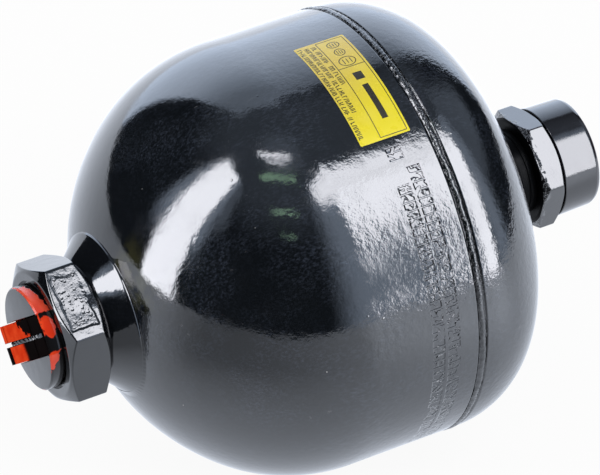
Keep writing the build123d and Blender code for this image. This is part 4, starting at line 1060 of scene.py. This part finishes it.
def softbox_group():
    """A softbox or wall seen far away, in azimuth and elevation in degrees, with soft edges.

    Its middle leans and its half width grows with the square of the elevation over 55 degrees. Shine is
    its brightness inside, and falls to 0 over the edges.
    """
    tree, g, given = new_group(
        "softbox",
        [("Azimuth", "NodeSocketFloat", 0.0), ("Elevation", "NodeSocketFloat", 0.0), ("Middle", "NodeSocketFloat", 0.0),
         ("Half Width", "NodeSocketFloat", 20.0), ("Lean", "NodeSocketFloat", 0.0), ("Grow", "NodeSocketFloat", 0.0),
         ("Side Soft", "NodeSocketFloat", 2.0), ("Low", "NodeSocketFloat", 0.0), ("High", "NodeSocketFloat", 60.0),
         ("Low Soft", "NodeSocketFloat", 2.0), ("High Soft", "NodeSocketFloat", 2.0), ("Brightness", "NodeSocketFloat", 1.0)],
        [("Shine", "NodeSocketFloat")],
    )
    rise = g.math("POWER", g.math("DIVIDE", g.math("MAXIMUM", given["Elevation"], 0.0), 55.0), 2.0)
    middle = g.math("ADD", given["Middle"], g.math("MULTIPLY", given["Lean"], rise))
    half = g.math("ADD", given["Half Width"], g.math("MULTIPLY", given["Grow"], rise))
    turn = g.math("ABSOLUTE", g.math("WRAP", g.math("SUBTRACT", given["Azimuth"], middle), 180.0, -180.0))
    soft = given["Side Soft"]
    side = g.ramp(turn, g.math("SUBTRACT", half, soft), g.math("ADD", half, soft), 1.0, 0.0)
    low = g.ramp(given["Elevation"], g.math("SUBTRACT", given["Low"], given["Low Soft"]), g.math("ADD", given["Low"], given["Low Soft"]))
    high = g.ramp(given["Elevation"], g.math("SUBTRACT", given["High"], given["High Soft"]), g.math("ADD", given["High"], given["High Soft"]), 1.0, 0.0)
    inside = g.math("MULTIPLY", side, g.math("MULTIPLY", low, high))
    return close_group(tree, {"Shine": g.math("MULTIPLY", inside, given["Brightness"])})


# Softboxes and walls round the table. Each is its middle azimuth, half width, lean, growth, side edge,
# lowest and highest elevation, low edge, high edge and brightness.
SOFTBOXES = [
    (-57.0, 8.0, 13.0, 8.0, 1.5, -8.0, 57.0, 2.0, 1.5, 9.6),
    (-53.0, 22.0, 0.0, 0.0, 3.0, 56.0, 68.5, 3.0, 1.5, 8.8),
    (-66.0, 18.0, 0.0, 0.0, 13.0, -8.0, 66.0, 4.0, 6.0, 1.35),
    (-38.0, 9.0, 12.0, 6.0, 8.0, -8.0, 62.0, 3.0, 4.0, 1.3),
    (170.0, 9.6, -3.6, 2.6, 0.8, -8.5, 62.0, 1.5, 1.5, 9.8),
    (168.0, 17.0, 0.0, 0.0, 4.0, 18.0, 62.0, 10.0, 2.0, 1.4),
    (184.0, 8.0, 0.0, 0.0, 4.0, 34.0, 60.0, 8.0, 3.0, 0.6),
    (66.0, 34.0, 13.0, -13.0, 1.0, -9.0, 60.0, 2.0, 1.5, 0.9),
    (64.0, 36.0, 15.0, -15.0, 2.0, -9.0, 44.0, 2.0, 26.0, 2.2),
    (-5.0, 24.0, 0.0, 0.0, 10.0, 20.0, 62.0, 7.0, 5.0, 0.5),
]
# Lights in a row on the ceiling, on a plane over the table in hundredths of its height: each is its middle
# and half length along itself, its two edges across, its brightness and whether it is greenish.
CEILING_LIGHTS = [
    (-6.0, 14.5, -4.4, 0.2, 8.0, False),
    (-5.5, 8.5, -9.4, -7.4, 9.5, False),
    (-3.7, 18.5, -26.6, -21.8, 2.8, True),
    (1.6, 15.0, -64.0, -61.0, 3.2, True),
    (7.0, 10.5, -97.0, -94.4, 2.6, True),
]
CEILING_TURN = radians(30.7)


def build_world():
    """A plain white room for matt surfaces and the camera; gloss sees softboxes and darker walls."""
    world = bpy.data.worlds.new("studio")
    bpy.context.scene.world = world
    world.use_nodes = True
    tree = world.node_tree
    tree.nodes.clear()
    g = Graph(tree)
    softbox = softbox_group()
    direction = g.node("ShaderNodeSeparateXYZ", {0: g.node("ShaderNodeTexCoord", output=0)}, output=None)
    azimuth = g.math("DEGREES", g.math("ARCTAN2", direction.outputs[1], direction.outputs[0]))
    elevation = g.math("DEGREES", g.math("ARCSINE", direction.outputs[2]))
    total = g.math("ADD", g.ramp(elevation, 36.0, 66.0, 0.025, 0.26), g.ramp(elevation, 74.0, 86.0, 0.0, 0.26))
    for middle, half, lean, grow, side_soft, low, high, low_soft, high_soft, bright in SOFTBOXES:
        box = use(g, softbox, {
            "Azimuth": azimuth, "Elevation": elevation, "Middle": middle, "Half Width": half, "Lean": lean, "Grow": grow,
            "Side Soft": side_soft, "Low": low, "High": high, "Low Soft": low_soft, "High Soft": high_soft, "Brightness": bright,
        })
        total = g.math("MAXIMUM", total, box["Shine"])
    over = g.math("MAXIMUM", direction.outputs[2], 0.05)
    flat_x, flat_y = (g.math("DIVIDE", g.math("MULTIPLY", direction.outputs[k], 100.0), over) for k in (0, 1))
    along = g.math("SUBTRACT", g.math("MULTIPLY", flat_x, cos(CEILING_TURN)), g.math("MULTIPLY", flat_y, sin(CEILING_TURN)))
    across = g.math("ADD", g.math("MULTIPLY", flat_x, sin(CEILING_TURN)), g.math("MULTIPLY", flat_y, cos(CEILING_TURN)))
    green = 0.0
    for middle, half, low, high, bright, greenish in CEILING_LIGHTS:
        box = use(g, softbox, {
            "Azimuth": along, "Elevation": across, "Middle": middle, "Half Width": half, "Side Soft": 1.5, "Low": low, "High": high,
            "Low Soft": 0.5, "High Soft": 0.5, "Brightness": g.ramp(elevation, 38.0, 42.0, 0.0, bright),
        })
        total = g.math("MAXIMUM", total, box["Shine"])
        if greenish:
            green = g.math("MAXIMUM", green, g.math("MINIMUM", box["Shine"], 1.0))
    strong = g.ramp(total, 1.0, 6.0)
    tint = g.mix(strong, (0.84, 1.0, 1.26, 1), (0.985, 1.0, 1.075, 1))
    tint = g.mix(green, tint, (0.62, 1.0, 0.70, 1))
    path = g.node("ShaderNodeLightPath", output=None)
    gloss = g.node("ShaderNodeBackground", {"Color": tint, "Strength": total})
    plain = g.node("ShaderNodeBackground", {"Color": (1, 1, 1, 1), "Strength": 0.62})
    white = g.node("ShaderNodeBackground", {"Color": (1, 1, 1, 1), "Strength": 1.0})
    lit = g.node("ShaderNodeMixShader", {0: path.outputs["Is Glossy Ray"], 1: plain, 2: gloss})
    clear = g.math("MAXIMUM", path.outputs["Is Camera Ray"], path.outputs["Is Transmission Ray"])
    g.node("ShaderNodeOutputWorld", {"Surface": g.node("ShaderNodeMixShader", {0: clear, 1: lit, 2: white})}, output=None)


def area_lamp(name, azimuth, elevation, distance, size, level):
    """A square lamp that only matt surfaces see, aimed at the vessel. Level is the light it throws there, where 1 is plain daylight."""
    data = bpy.data.lights.new(name, "AREA")
    data.shape = "SQUARE"
    data.size = size
    data.energy = level * pi * pi * distance ** 2
    made = bpy.data.objects.new(name, data)
    a, e = radians(azimuth), radians(elevation)
    away = np.array([cos(a) * cos(e), sin(a) * cos(e), sin(e)])
    made.location = np.array([0.09, 0, 0]) + distance * away
    side = np.array([-sin(a), cos(a), 0])
    up = np.cross(away, side)
    made.rotation_mode = "QUATERNION"
    made.rotation_quaternion = Matrix(np.stack([side, up, away], -1).tolist()).to_quaternion()
    made.visible_camera = False
    made.visible_glossy = False
    bpy.context.scene.collection.objects.link(made)


def build_camera():
    """The photograph's view: a long lens, 1.4 m away, looking down at 39 degrees from the port's left."""
    data = bpy.data.cameras.new("camera")
    data.sensor_width = 36
    data.sensor_fit = "HORIZONTAL"
    data.lens = 282
    data.clip_start = 0.05
    data.clip_end = 20
    made = bpy.data.objects.new("camera", data)
    right = Vector((0.878416159, -0.477896254, -0.000471398))
    up = Vector((0.30394704, 0.55792018, 0.77223136))
    back = Vector((-0.36878347, -0.67848378, 0.63534125))
    turn = Matrix((right, up, back)).transposed()
    made.rotation_mode = "QUATERNION"
    made.rotation_quaternion = turn.to_quaternion()
    made.location = (-0.43986, -0.97095, 0.91220)
    bpy.context.scene.collection.objects.link(made)
    bpy.context.scene.camera = made


build_floor()
build_world()
area_lamp("key_lamp", -70, 50, 1.5, 1.0, 0.35)
area_lamp("fill_lamp", 170, 35, 1.5, 1.0, 0.2)
build_camera()
bpy.context.scene.view_settings.view_transform = "Standard"
